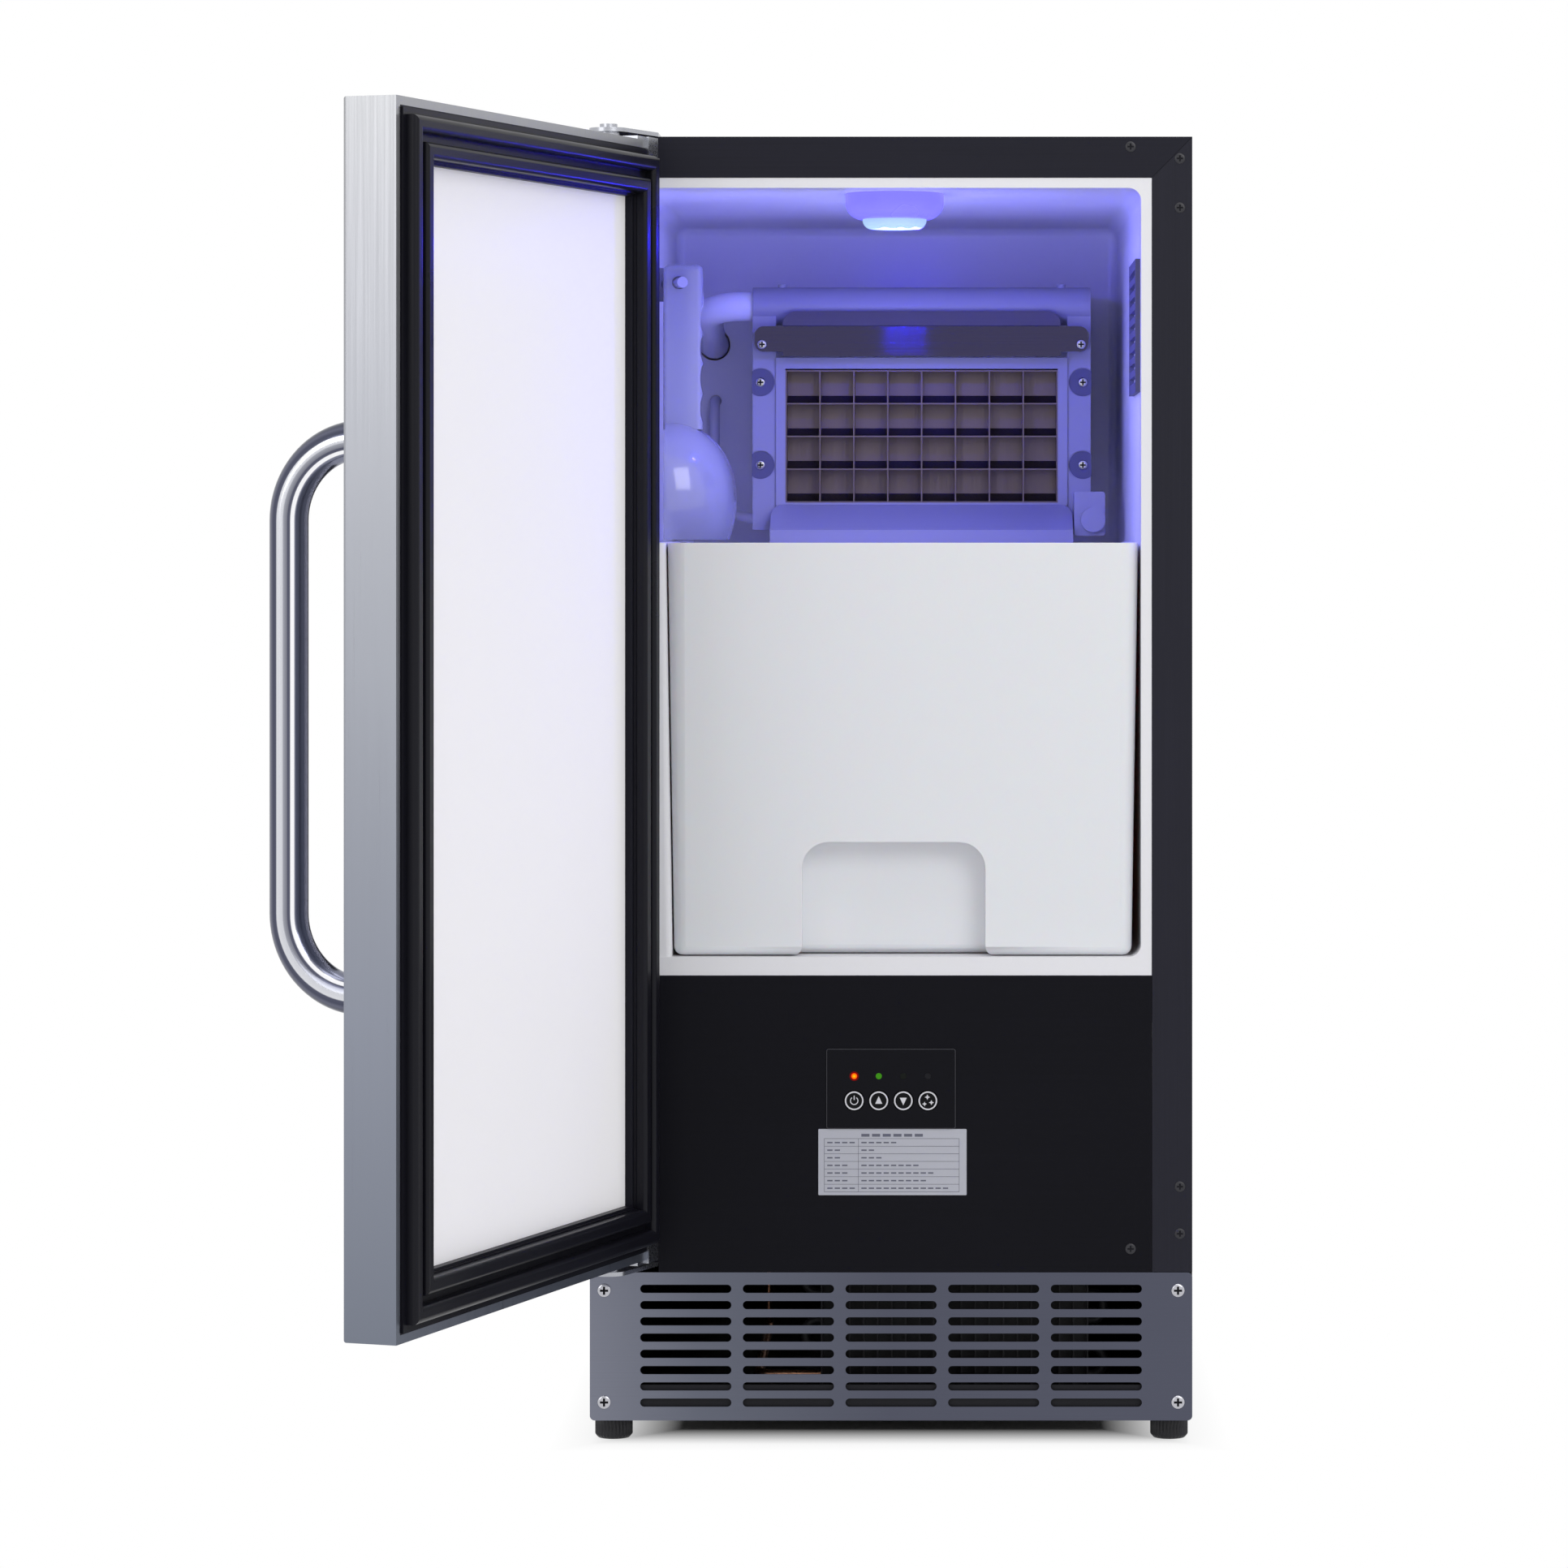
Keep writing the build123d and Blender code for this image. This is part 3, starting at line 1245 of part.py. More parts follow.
def scoop_hook():
    """Block on the cavity's left wall with a slanting peg for the scoop."""
    start, end = peg_line(-peg_behind, peg_ahead)
    block = slab(-cav_x, start[0] + peg_r * 2, start[1] - hook_d / 2, start[1] + hook_d / 2,
                 hang_z - hook_h / 2, hang_z + hook_h / 2)
    return block + rod(start, end, peg_r)


# ---------------------------------------------------------------- hinges
def hinge_plate(y1):
    """Outline of a hinge plate: round nose about the pin, widening to the cabinet."""
    nose = Pos(pin_x, pin_y) * Circle(hinge_nose_r)
    x0 = pin_x - hinge_nose_r
    body = make_hull(nose.edges() + (Pos(x0 + hinge_root_w / 2, 0) * Rectangle(hinge_root_w, fit)).edges())
    root = Pos(x0 + hinge_root_w / 2, y1 / 2) * Rectangle(hinge_root_w, y1)
    return body + root


def hinge_plates():
    """Upper plate on the cabinet's top, and lower plate with a leg inside the left side."""
    reach = trim_t + trim_return + fit
    upper = Pos(0, 0, cabinet_h) * extrude(hinge_plate(hinge_reach), amount=hinge_plate_t)
    z0 = kick_top + tongue_z
    lower = Pos(0, 0, z0) * extrude(hinge_plate(hinge_reach), amount=hinge_plate_t)
    x0 = pin_x - hinge_nose_r
    lower += slab(-inner_x, x0 + 1, reach, hinge_reach, z0, z0 + hinge_plate_t)
    lower += slab(-inner_x, -inner_x + hinge_plate_t, reach, hinge_reach, z0, z0 + tongue_leg)
    return upper + lower - rod((pin_x, pin_y, 0), (pin_x, pin_y, cabinet_h * 2), pin_r)


def hinge_pins():
    """Pin and collar of each hinge."""
    upper = rod((pin_x, pin_y, door_z1 - pin_grip), (pin_x, pin_y, cabinet_h + hinge_plate_t), pin_r)
    upper += rod((pin_x, pin_y, cabinet_h + hinge_plate_t),
                 (pin_x, pin_y, cabinet_h + hinge_plate_t + pin_head_h), pin_head_r)
    upper += rod((pin_x, pin_y, door_z1 + block_t + collar_gap), (pin_x, pin_y, cabinet_h), collar_r)
    lower = rod((pin_x, pin_y, kick_top + tongue_z), (pin_x, pin_y, door_z0 + pin_grip), pin_r)
    lower += rod((pin_x, pin_y, tongue_top), (pin_x, pin_y, door_z0 - block_t - collar_gap), collar_r)
    return upper + lower


def door_ends():
    """Z of each end of the door, and the direction that points out of it."""
    return ((door_z0, -1), (door_z1, 1))


def bush_space(radius):
    """Bore for the pins at both ends of the door."""
    grip = pin_grip + bush_wall
    return joined(rod((pin_x, pin_y, z - out * grip), (pin_x, pin_y, z + out * (block_t + 1)), radius)
                  for z, out in door_ends())


def hinge_blocks():
    """Plates over the ends of the door, with a foot on its inner face and a bush for the pin."""
    blocks = Part()
    for z, out in door_ends():
        z0, z1 = sorted((z, z + out * block_t))
        blocks += slab(door_x0, door_x0 + block_plate_l, door_y0, door_y1, z0, z1)
        z0, z1 = sorted((z + out * block_t, z - out * block_h))
        blocks += slab(door_x0, door_x0 + block_l, door_y1, door_y1 + block_t, z0, z1)
        blocks += rod((pin_x, pin_y, z), (pin_x, pin_y, z - out * (pin_grip + bush_wall)),
                      pin_r + pin_gap + bush_wall)
    return blocks - bush_space(pin_r + pin_gap)


# ---------------------------------------------------------------- door, drawn shut
def door_block(inset, y0, y1):
    """Block over the whole door, smaller by inset at all four edges."""
    return slab(door_x0 + inset, door_x1 - inset, y0, y1, door_z0 + inset, door_z1 - inset)


def door_ring(outer, inner, y0, y1):
    """Ring round the door between two insets."""
    return door_block(outer, y0, y1) - door_block(inner, y0 - 1, y1 + 1)


def door_frame():
    """Folded steel frame: outer face with the window, four sides and an inner lip."""
    frame = door_block(0, door_y0, door_y1)
    frame = fillet(frame.faces().sort_by(Axis.Y)[0].edges(), door_edge_r)
    frame -= door_block(door_skin, door_y0 + door_skin, door_y1 - door_skin)
    frame -= door_block(door_lip, door_y1 - door_skin - 1, door_y1 + 1)
    frame -= slab(door_x0 + stile_w, door_x1 - stile_w, door_y0 - 1, door_y0 + door_skin + 1,
                  door_z0 + rail_w, door_z1 - rail_w)
    return frame - bush_space(pin_r + pin_gap + bush_wall)


def door_inner_frame():
    """Moulded frame that fills the steel one and holds both panes."""
    back = door_y0 + door_skin
    seat = door_y1 - inner_lip_t
    frame = door_block(door_skin, back, door_y1 - door_skin)
    frame += door_block(door_lip, door_y1 - door_skin, door_y1)
    frame -= door_block(pane_inset, back - 1, seat)
    frame -= door_block(sight_inset, seat - 1, door_y1 + 1)
    return frame - bush_space(pin_r + pin_gap + bush_wall)


def glass_outer():
    """Outer pane."""
    y0 = door_y0 + door_skin
    return door_block(pane_inset + pane_fit, y0, y0 + pane_t)


def glass_inner():
    """Inner pane."""
    y1 = door_y1 - inner_lip_t
    return door_block(pane_inset + pane_fit, y1 - pane_t, y1)


def glass_spacer():
    """Spacer that keeps the panes apart."""
    return door_ring(pane_inset + pane_fit, pane_inset + pane_fit + spacer_w,
                     door_y0 + door_skin + pane_t, door_y1 - inner_lip_t - pane_t)


def crowned_ring(outer, width, y1, crown_r):
    """Rounded rib of the gasket."""
    ring = door_ring(outer, outer + width, door_y1, y1)
    return fillet(ring.faces().sort_by(Axis.Y)[-1].edges(), crown_r)


def door_gasket():
    """Gasket with a sealing bulb and an inner rib, cut away at the hinge blocks."""
    gasket = door_ring(gasket_inset, gasket_inset + gasket_w, door_y1, door_y1 + gasket_t)
    gasket += crowned_ring(bulb_inset, bulb_w, -bulb_clear, bulb_crown_r)
    gasket += crowned_ring(rib_inset, rib_w, door_y1 + gasket_t + rib_h, rib_crown_r)
    for z, out in door_ends():
        z0, z1 = sorted((z + out, z - out * (block_h + fit)))
        gasket -= slab(door_x0 - 1, door_x0 + block_l + fit, door_y1 - 1, 1, z0, z1)
    return gasket


def door_handle():
    """Round bar handle, bent back to the door at both ends."""
    x = door_x1 - handle_from_edge
    y = door_y0 - handle_standoff
    middle = (door_z0 + door_z1) / 2
    half = handle_straight / 2 + handle_bend_r
    points = ((x, door_y0, middle - half), (x, y, middle - half), (x, y, middle + half),
              (x, door_y0, middle + half))
    return bar_along(points, handle_r, handle_bend_r)


def opened(shape):
    """Shape of the shut door, turned to where the door stands open."""
    return Pos(pin_x, pin_y, 0) * Rot(0, 0, -door_open) * Pos(-pin_x, -pin_y, 0) * shape


# ---------------------------------------------------------------- export
nodes = {
    "cabinet_wrapper": cabinet_wrapper(),
    "rear_panel": rear_panel(),
    "rear_access_panel": rear_access_panel(),
    "base_tray": base_tray(),
    "top_trim": top_trim(),
    "left_trim": left_trim(),
    "right_trim": right_trim(),
    "lower_fascia": lower_fascia(),
    "kick_grille": kick_grille(),
    "black_screws": black_screws(),
    "steel_screws": steel_screws(),
    "cavity_liner": cavity_liner(),
    "foam_insulation": foam_insulation(),
    "control_overlay": control_overlay(),
    "indicator_lights": indicator_lights(),
    "control_box": control_box(),
    "lamp_housing": lamp_housing(),
    "lamp_lens": lamp_lens(),
    "side_vent": side_vent(),
    "evaporator_frame": evaporator_frame(),
    "evaporator_grid": evaporator_grid(),
    "evaporator_coil": evaporator_coil(),
    "distributor_tube": distributor_tube(),
    "splash_shield": splash_shield(),
    "water_hoses": water_hoses(),
    "water_trough": water_trough(),
    "pump_motor": pump_motor(),
    "sensor_box": sensor_box(),
    "scoop_hook": scoop_hook(),
    "compressor": compressor(),
    "compressor_grommets": compressor_grommets(),
    "condenser": condenser(),
    "fan_shroud": fan_shroud(),
    "fan_motor": fan_motor(),
    "fan_blades": fan_blades(),
    "filter_drier": filter_drier(),
    "refrigerant_pipes": refrigerant_pipes(),
    "water_inlet_valve": water_inlet_valve(),
    "drain_spigot": drain_spigot(),
    "power_inlet": power_inlet(),
    "hinge_plates": hinge_plates(),
    "hinge_pins": hinge_pins(),
    "door_frame": opened(door_frame()),
    "door_inner_frame": opened(door_inner_frame()),
    "door_gasket": opened(door_gasket()),
    "glass_outer": opened(glass_outer()),
    "glass_inner": opened(glass_inner()),
    "glass_spacer": opened(glass_spacer()),
    "door_handle": opened(door_handle()),
    "hinge_blocks": opened(hinge_blocks()),
    "ice_bin": ice_bin(),
    "ice_scoop": ice_scoop(),
}
for i, x in enumerate(button_xs()):
    nodes[f"button_{i + 1}"] = button(x)
for i, (x, y) in enumerate(foot_places()):
    nodes[f"foot_{i + 1}"] = foot(x, y)

os.makedirs("parts", exist_ok=True)
for name, shape in nodes.items():
    export_step(shape, f"parts/{name}.step")
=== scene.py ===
"""Looks of the undercounter clear-ice maker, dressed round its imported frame.

Metres, +Z up, front at Y = 0.
"""

import json
import logging
import math
from collections.abc import Iterable, Sequence
from dataclasses import dataclass
from enum import Enum

import bmesh
import bpy
from mathutils import Matrix, Vector

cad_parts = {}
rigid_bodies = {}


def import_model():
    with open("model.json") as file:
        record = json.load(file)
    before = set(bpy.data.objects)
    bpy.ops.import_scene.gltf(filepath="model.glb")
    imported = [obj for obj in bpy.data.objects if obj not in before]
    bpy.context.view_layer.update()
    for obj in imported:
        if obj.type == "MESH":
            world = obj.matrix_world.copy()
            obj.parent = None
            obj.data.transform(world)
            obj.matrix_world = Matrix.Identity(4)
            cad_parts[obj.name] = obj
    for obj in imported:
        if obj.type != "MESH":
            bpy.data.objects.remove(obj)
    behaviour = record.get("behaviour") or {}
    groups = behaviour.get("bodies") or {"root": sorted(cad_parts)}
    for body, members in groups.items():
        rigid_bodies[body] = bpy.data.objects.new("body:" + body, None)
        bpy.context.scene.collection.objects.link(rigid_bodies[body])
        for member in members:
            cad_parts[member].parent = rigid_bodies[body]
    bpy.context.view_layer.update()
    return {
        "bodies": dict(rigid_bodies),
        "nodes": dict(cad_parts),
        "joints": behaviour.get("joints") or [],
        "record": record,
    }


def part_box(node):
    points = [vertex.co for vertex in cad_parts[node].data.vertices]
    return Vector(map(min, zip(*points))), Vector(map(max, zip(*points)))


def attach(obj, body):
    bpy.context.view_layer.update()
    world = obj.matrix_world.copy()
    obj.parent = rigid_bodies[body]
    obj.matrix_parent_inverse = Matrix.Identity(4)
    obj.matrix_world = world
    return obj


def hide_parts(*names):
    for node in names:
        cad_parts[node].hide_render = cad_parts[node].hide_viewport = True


LOG = logging.getLogger("ice_maker")
MM = 0.001
TINY = 1e-6
NOISE_MEAN = 0.5

Colour = tuple[float, float, float]
Point = tuple[float, float, float]
Pair = tuple[float, float]
Stops = tuple[tuple[float, Colour], ...]
Constants = tuple[tuple[str, object], ...]
Socket = bpy.types.NodeSocket
Mesh = bmesh.types.BMesh


class Grain(Enum):
    """How a brushing runs over a sheet: the texture is stretched along the axis that it names."""

    ALONG_X = (6.0, 900.0, 900.0)
    ALONG_Z = (900.0, 900.0, 6.0)


class Effect(Enum):
    """The effects that several finishes share."""

    BRUSHING = "brushing"
    MOULDING = "moulding"
    DUST = "dust"


class Symbol(Enum):
    """The plain mark inside each button's ring."""

    POWER = "power"
    MORE = "more"
    LESS = "less"
    CLEAN = "clean"


# ---------------------------------------------------------------- node trees


class Tree:
    """A short hand for building a node tree."""

    def __init__(self, tree: bpy.types.NodeTree) -> None:
        """Keeps the tree that the nodes go into."""
        self.tree = tree

    def node(self, kind: str, **settings: object) -> bpy.types.Node:
        """Adds a node and sets its properties.

        Args:
            kind: The node's bl_idname.
            **settings: Properties of the node, by name.

        Returns:
            The new node.
        """
        made = self.tree.nodes.new(kind)
        for name, value in settings.items():
            setattr(made, name, value)
        return made

    def link(self, source: Socket, target: Socket) -> None:
        """Joins an output to an input."""
        self.tree.links.new(source, target)

    def feed(self, target: Socket, value: object) -> None:
        """Sets an input from a number, colour or vector, or links it from another socket.

        Args:
            target: The input to set.
            value: A socket to link from, or the value itself.
        """
        if isinstance(value, Socket):
            self.link(value, target)
        else:
            target.default_value = value

    def math(self, how: str, first: object, second: object = 0.0, clamp: bool = False) -> Socket:
        """Adds a Math node.

        Args:
            how: The operation, such as MULTIPLY.
            first: The first input, a number or a socket.
            second: The second input, a number or a socket.
            clamp: Whether the result is held between 0 and 1.

        Returns:
            The result's socket.
        """
        made = self.node("ShaderNodeMath", operation=how, use_clamp=clamp)
        self.feed(made.inputs[0], first)
        self.feed(made.inputs[1], second)
        return made.outputs[0]

    def about(self, base: object, value: object, amount: object, clamp: bool = False) -> Socket:
        """Moves a base by a value times an amount.

        Args:
            base: The number or socket to move.
            value: What moves it.
            amount: How strongly, a number or a socket.
            clamp: Whether the result is held between 0 and 1.

        Returns:
            The result's socket.
        """
        return self.math("ADD", self.math("MULTIPLY", value, amount), base, clamp)

    def span(self, value: object, low: float, high: float, to_low: float = 0.0,
             to_high: float = 1.0) -> Socket:
        """Maps a value from one range to another, clamped.

        Args:
            value: The input's socket.
            low: The input that gives to_low.
            high: The input that gives to_high.
            to_low: The result at low.
            to_high: The result at high.

        Returns:
            The result's socket.
        """
        made = self.node("ShaderNodeMapRange", clamp=True)
        names = ("Value", "From Min", "From Max", "To Min", "To Max")
        for name, number in zip(names, (value, low, high, to_low, to_high)):
            self.feed(made.inputs[name], number)
        return made.outputs[0]

    def vector(self, how: str, first: object, second: object = (0.0, 0.0, 0.0)) -> Socket:
        """Adds a Vector Math node.

        Args:
            how: The operation, such as MULTIPLY.
            first: The first vector or its socket.
            second: The second vector or its socket.

        Returns:
            The result's socket: a number's for DISTANCE and DOT_PRODUCT, or else a vector's.
        """
        made = self.node("ShaderNodeVectorMath", operation=how)
        self.feed(made.inputs[0], first)
        self.feed(made.inputs[1], second)
        return made.outputs["Value" if how in ("DISTANCE", "DOT_PRODUCT") else "Vector"]

    def noise(self, vector: object, scale: object, detail: float = 3.0, roughness: float = 0.55) -> Socket:
        """Adds a noise texture.

        Args:
            vector: Where it is read.
            scale: Its scale, a number or a socket.
            detail: How many octaves it has.
            roughness: How strong the finer octaves are.

        Returns:
            The value's socket, about 0.3 to 0.7.
        """
        made = self.node("ShaderNodeTexNoise")
        names = ("Vector", "Scale", "Detail", "Roughness")
        for name, value in zip(names, (vector, scale, detail, roughness)):
            self.feed(made.inputs[name], value)
        return made.outputs["Fac"]

    def graded(self, value: object, stops: Stops) -> Socket:
        """Maps a value to colours that change evenly from stop to stop.

        Args:
            value: The input's socket.
            stops: The value and colour of each stop, the lowest first.

        Returns:
            The colour's socket.
        """
        low, high = stops[0][0], stops[-1][0]
        made = self.node("ShaderNodeValToRGB")
        self.link(self.span(value, low, high), made.inputs[0])
        elements = made.color_ramp.elements
        for place, _ in stops[1:-1]:
            elements.new((place - low) / (high - low))
        for element, (_, colour) in zip(elements, stops):
            element.color = rgba(colour)
        return made.outputs[0]

    def part(self, vector: object, axis: int) -> Socket:
        """Takes one coordinate out of a vector.

        Args:
            vector: The vector's socket.
            axis: 0 for X, 1 for Y, 2 for Z.

        Returns:
            The coordinate's socket.
        """
        made = self.node("ShaderNodeSeparateXYZ")
        self.feed(made.inputs[0], vector)
        return made.outputs[axis]

    def blended(self, mask: object, first: object, second: object) -> Socket:
        """Mixes two colours by a mask.

        Args:
            mask: The mask's socket, or a number.
            first: The colour where the mask is 0.
            second: The colour where the mask is 1.

        Returns:
            The colour's socket.
        """
        made = self.node("ShaderNodeMix", data_type="RGBA")
        for index, value in zip((0, 6, 7), (mask, first, second)):
            self.feed(made.inputs[index], value)
        return made.outputs[2]

    def tinted(self, tone: Socket, colour: object) -> Socket:
        """Multiplies a colour by a tone.

        Args:
            tone: The tone's socket.
            colour: The colour or its socket.

        Returns:
            The colour's socket.
        """
        made = self.node("ShaderNodeVectorMath", operation="SCALE")
        self.feed(made.inputs[0], colour)
        self.link(tone, made.inputs["Scale"])
        return made.outputs[0]


def rgba(colour: Colour) -> tuple[float, float, float, float]:
    """Adds a full alpha to a colour."""
    return (*colour, 1.0)


class Effects:
    """The shared effects, each a node group that is built once and read at a place."""

    def __init__(self) -> None:
        """Starts with no group built."""
        self.made: dict[Effect, bpy.types.NodeTree] = {}

    def get(self, effect: Effect) -> bpy.types.NodeTree:
        """Gives an effect's group, built when it is first asked for.

        Args:
            effect: The effect.

        Returns:
            The group.
        """
        if effect not in self.made:
            makers = {Effect.BRUSHING: self.brushing, Effect.MOULDING: self.moulding, Effect.DUST: self.dust}
            makers[effect]()
        return self.made[effect]

    def start(self, effect: Effect, inputs: dict[str, object],
              outputs: Sequence[str]) -> tuple[Tree, dict, dict]:
        """Makes an empty group with named sockets.

        Args:
            effect: The effect.
            inputs: The first value of each input besides Place, by name.
            outputs: The name of each output, all of them numbers.

        Returns:
            The group's tree, its inputs and its outputs, by name.
        """
        group = bpy.data.node_groups.new(effect.value, "ShaderNodeTree")
        for label, value in {"Place": (0.0, 0.0, 0.0), **inputs}.items():
            kind = "NodeSocketVector" if isinstance(value, tuple) else "NodeSocketFloat"
            group.interface.new_socket(label, in_out="INPUT", socket_type=kind).default_value = value
        for label in outputs:
            group.interface.new_socket(label, in_out="OUTPUT", socket_type="NodeSocketFloat")
        tree = Tree(group)
        entry, end = tree.node("NodeGroupInput"), tree.node("NodeGroupOutput")
        self.made[effect] = group
        return tree, dict(entry.outputs.items()), dict(end.inputs.items())

    def brushing(self) -> None:
        """Builds fine parallel scratches, with a slow change of tone from end to end.

        Tone multiplies a colour, and Roughness and Height follow the same scratches.
        """
        first = {"Stretch": Grain.ALONG_X.value, "Contrast": 0.12, "Polish": 0.3}
        tree, into, out = self.start(Effect.BRUSHING, first, ("Tone", "Roughness", "Height"))
        stretched = tree.vector("MULTIPLY", into["Place"], into["Stretch"])
        lines = tree.noise(stretched, scale=1.0, detail=4.0, roughness=0.7)
        slow = tree.noise(into["Place"], scale=6.0, detail=2.0)
        centred = tree.math("SUBTRACT", lines, NOISE_MEAN)
        both = tree.about(centred, value=tree.math("SUBTRACT", slow, NOISE_MEAN), amount=0.35)
        tree.link(tree.about(1.0, both, into["Contrast"]), out["Tone"])
        tree.link(tree.about(into["Polish"], centred, amount=0.35, clamp=True), out["Roughness"])
        tree.link(lines, out["Height"])

    def moulding(self) -> None:
        """Builds the slight waviness and fine skin of moulded or coated surfaces.

        Tone multiplies a colour, Roughness varies round Polish, and Height is the skin.
        """
        first = {"Grit": 900.0, "Contrast": 0.06, "Polish": 0.4}
        tree, into, out = self.start(Effect.MOULDING, first, ("Tone", "Roughness", "Height"))
        fine = tree.noise(into["Place"], into["Grit"], detail=2.0)
        slow = tree.noise(into["Place"], scale=9.0)
        mean = tree.math("MULTIPLY", tree.math("ADD", fine, slow), 0.5)
        centred = tree.math("SUBTRACT", mean, NOISE_MEAN)
        wave = tree.math("SUBTRACT", slow, NOISE_MEAN)
        tree.link(tree.about(1.0, centred, into["Contrast"]), out["Tone"])
        tree.link(tree.about(into["Polish"], wave, amount=0.25, clamp=True), out["Roughness"])
        tree.link(tree.about(slow, fine, amount=0.4), out["Height"])

    def dust(self) -> None:
        """Builds dust that lies on faces that look up, thinner where it has been wiped.

        Mask is 1 where the dust is thick.
        """
        tree, into, out = self.start(Effect.DUST, {"Amount": 0.2}, ("Mask",))
        normal = tree.node("ShaderNodeNewGeometry").outputs["Normal"]
        up = tree.span(tree.part(normal, 2), low=0.4, high=1.0)
        wiped = tree.noise(into["Place"], scale=34.0, detail=5.0, roughness=0.6)
        patch = tree.span(wiped, low=0.35, high=0.7, to_low=0.2)
        tree.link(tree.math("MULTIPLY", tree.math("MULTIPLY", up, patch), into["Amount"], True), out["Mask"])


class Coat(Tree):
    """A material's tree while a finish paints it."""

    def __init__(self, material: bpy.types.Material, effects: Effects) -> None:
        """Keeps the material's shader and the shared effects.

        Args:
            material: The material, with its nodes.
            effects: The shared effects.
        """
        super().__init__(material.node_tree)
        self.shader = material.node_tree.nodes["Principled BSDF"]
        self.effects = effects

    def own(self, name: str) -> Socket:
        """Gives the piece's own coordinates: Object or Normal."""
        return self.node("ShaderNodeTexCoord").outputs[name]

    def put(self, name: str, value: object) -> None:
        """Feeds an input of the shader with a value or a socket."""
        self.feed(self.shader.inputs[name], value)

    def effect(self, effect: Effect, **values: object) -> bpy.types.NodeOutputs:
        """Places a shared effect, read at the piece's own coordinates.

        Args:
            effect: The effect to place.
            **values: Its other inputs, by name.

        Returns:
            The effect's outputs, by name.
        """
        made = self.node("ShaderNodeGroup")
        made.node_tree = self.effects.get(effect)
        for name, value in {"Place": self.own("Object"), **values}.items():
            self.feed(made.inputs[name], value)
        return made.outputs


# ---------------------------------------------------------------- finishes


@dataclass(frozen=True)
class Finish:
    """What every finish has: its name, colour and the constant numbers of its shader."""

    name: str
    colour: Colour
    polish: float = 0.4
    contrast: float = 0.06
    relief: float = 0.08
    sockets: Constants = ()
    depth: float = 0.0004
    grit: float = 900.0

    def build(self, effects: Effects) -> bpy.types.Material:
        """Makes the finish as a material.

        Args:
            effects: The shared effects.

        Returns:
            The material.
        """
        material = bpy.data.materials.new(self.name)
        material.use_nodes = True
        coat = Coat(material, effects)
        for name, value in self.sockets:
            coat.put(name, value)
        self.paint(coat)
        return material

    def paint(self, coat: Coat) -> None:
        """Links what changes over the surface. Each kind of finish has its own."""
        raise NotImplementedError

    def skin(self, coat: Coat) -> bpy.types.NodeOutputs:
        """Places the skin of a moulding, with the finish's grit."""
        return coat.effect(Effect.MOULDING, Grit=self.grit, Contrast=self.contrast, Polish=self.polish)

    def scratches(self, coat: Coat, grain: Grain) -> bpy.types.NodeOutputs:
        """Places the scratches of a brushing along its grain."""
        return coat.effect(Effect.BRUSHING, Stretch=grain.value, Contrast=self.contrast, Polish=self.polish)

    def raised(self, coat: Coat, height: Socket) -> None:
        """Feeds a height to the shader's normal through a Bump node.

        Args:
            coat: The material's tree.
            height: The height's socket.
        """
        bump = coat.node("ShaderNodeBump")
        for name, value in (("Strength", self.relief), ("Distance", self.depth), ("Height", height)):
            coat.feed(bump.inputs[name], value)
        coat.put("Normal", bump.outputs["Normal"])


@dataclass(frozen=True)
class Moulded(Finish):
    """Plastic, paint or rubber, with a fine skin and dust on top."""

    dusty: float = 0.0
    dust_colour: Colour = (0.45, 0.43, 0.4)

    def paint(self, coat: Coat) -> None:
        """Links the skin and the dust.

        Args:
            coat: The material's tree.
        """
        skin = self.skin(coat)
        colour = coat.tinted(skin["Tone"], self.colour)
        if self.dusty:
            dust = coat.effect(Effect.DUST, Amount=self.dusty)
            colour = coat.blended(dust["Mask"], colour, rgba(self.dust_colour))
        coat.put("Base Color", colour)
        coat.put("Roughness", skin["Roughness"])
        self.raised(coat, skin["Height"])


@dataclass(frozen=True)
class Brushed(Finish):
    """Metal or coated sheet with a brushed grain.

    Its colour may change along an axis by stops, which paint light, shade and reflection along the sheet, or
    be a darker colour on faces that lie level, which paints shade there.
    """

    depth: float = 0.00008
    grain: Grain = Grain.ALONG_Z
    axis: int = 2
    stops: Stops = ()
    level_painted_shade: Colour | None = None
    level: Pair = (0.5, 0.9)

    def paint(self, coat: Coat) -> None:
        """Links the grain and the colour's painted light and shade.

        Args:
            coat: The material's tree.
        """
        lines = self.scratches(coat, self.grain)
        colour: object = self.colour
        # the stops paint light and reflection along the axis: lighter and darker bands that stand in for how
        # the sheet is lit
        if self.stops:
            colour = coat.graded(coat.part(coat.own("Object"), self.axis), self.stops)
        # faces that lie level get a darker colour: painted shade and dark reflection
        elif self.level_painted_shade:
            flatness = coat.math("ABSOLUTE", coat.part(coat.own("Normal"), 2))
            colour = coat.blended(coat.span(flatness, *self.level), rgba(self.colour), rgba(self.level_painted_shade))
        coat.put("Base Color", coat.tinted(lines["Tone"], colour))
        coat.put("Roughness", lines["Roughness"])
        self.raised(coat, lines["Height"])


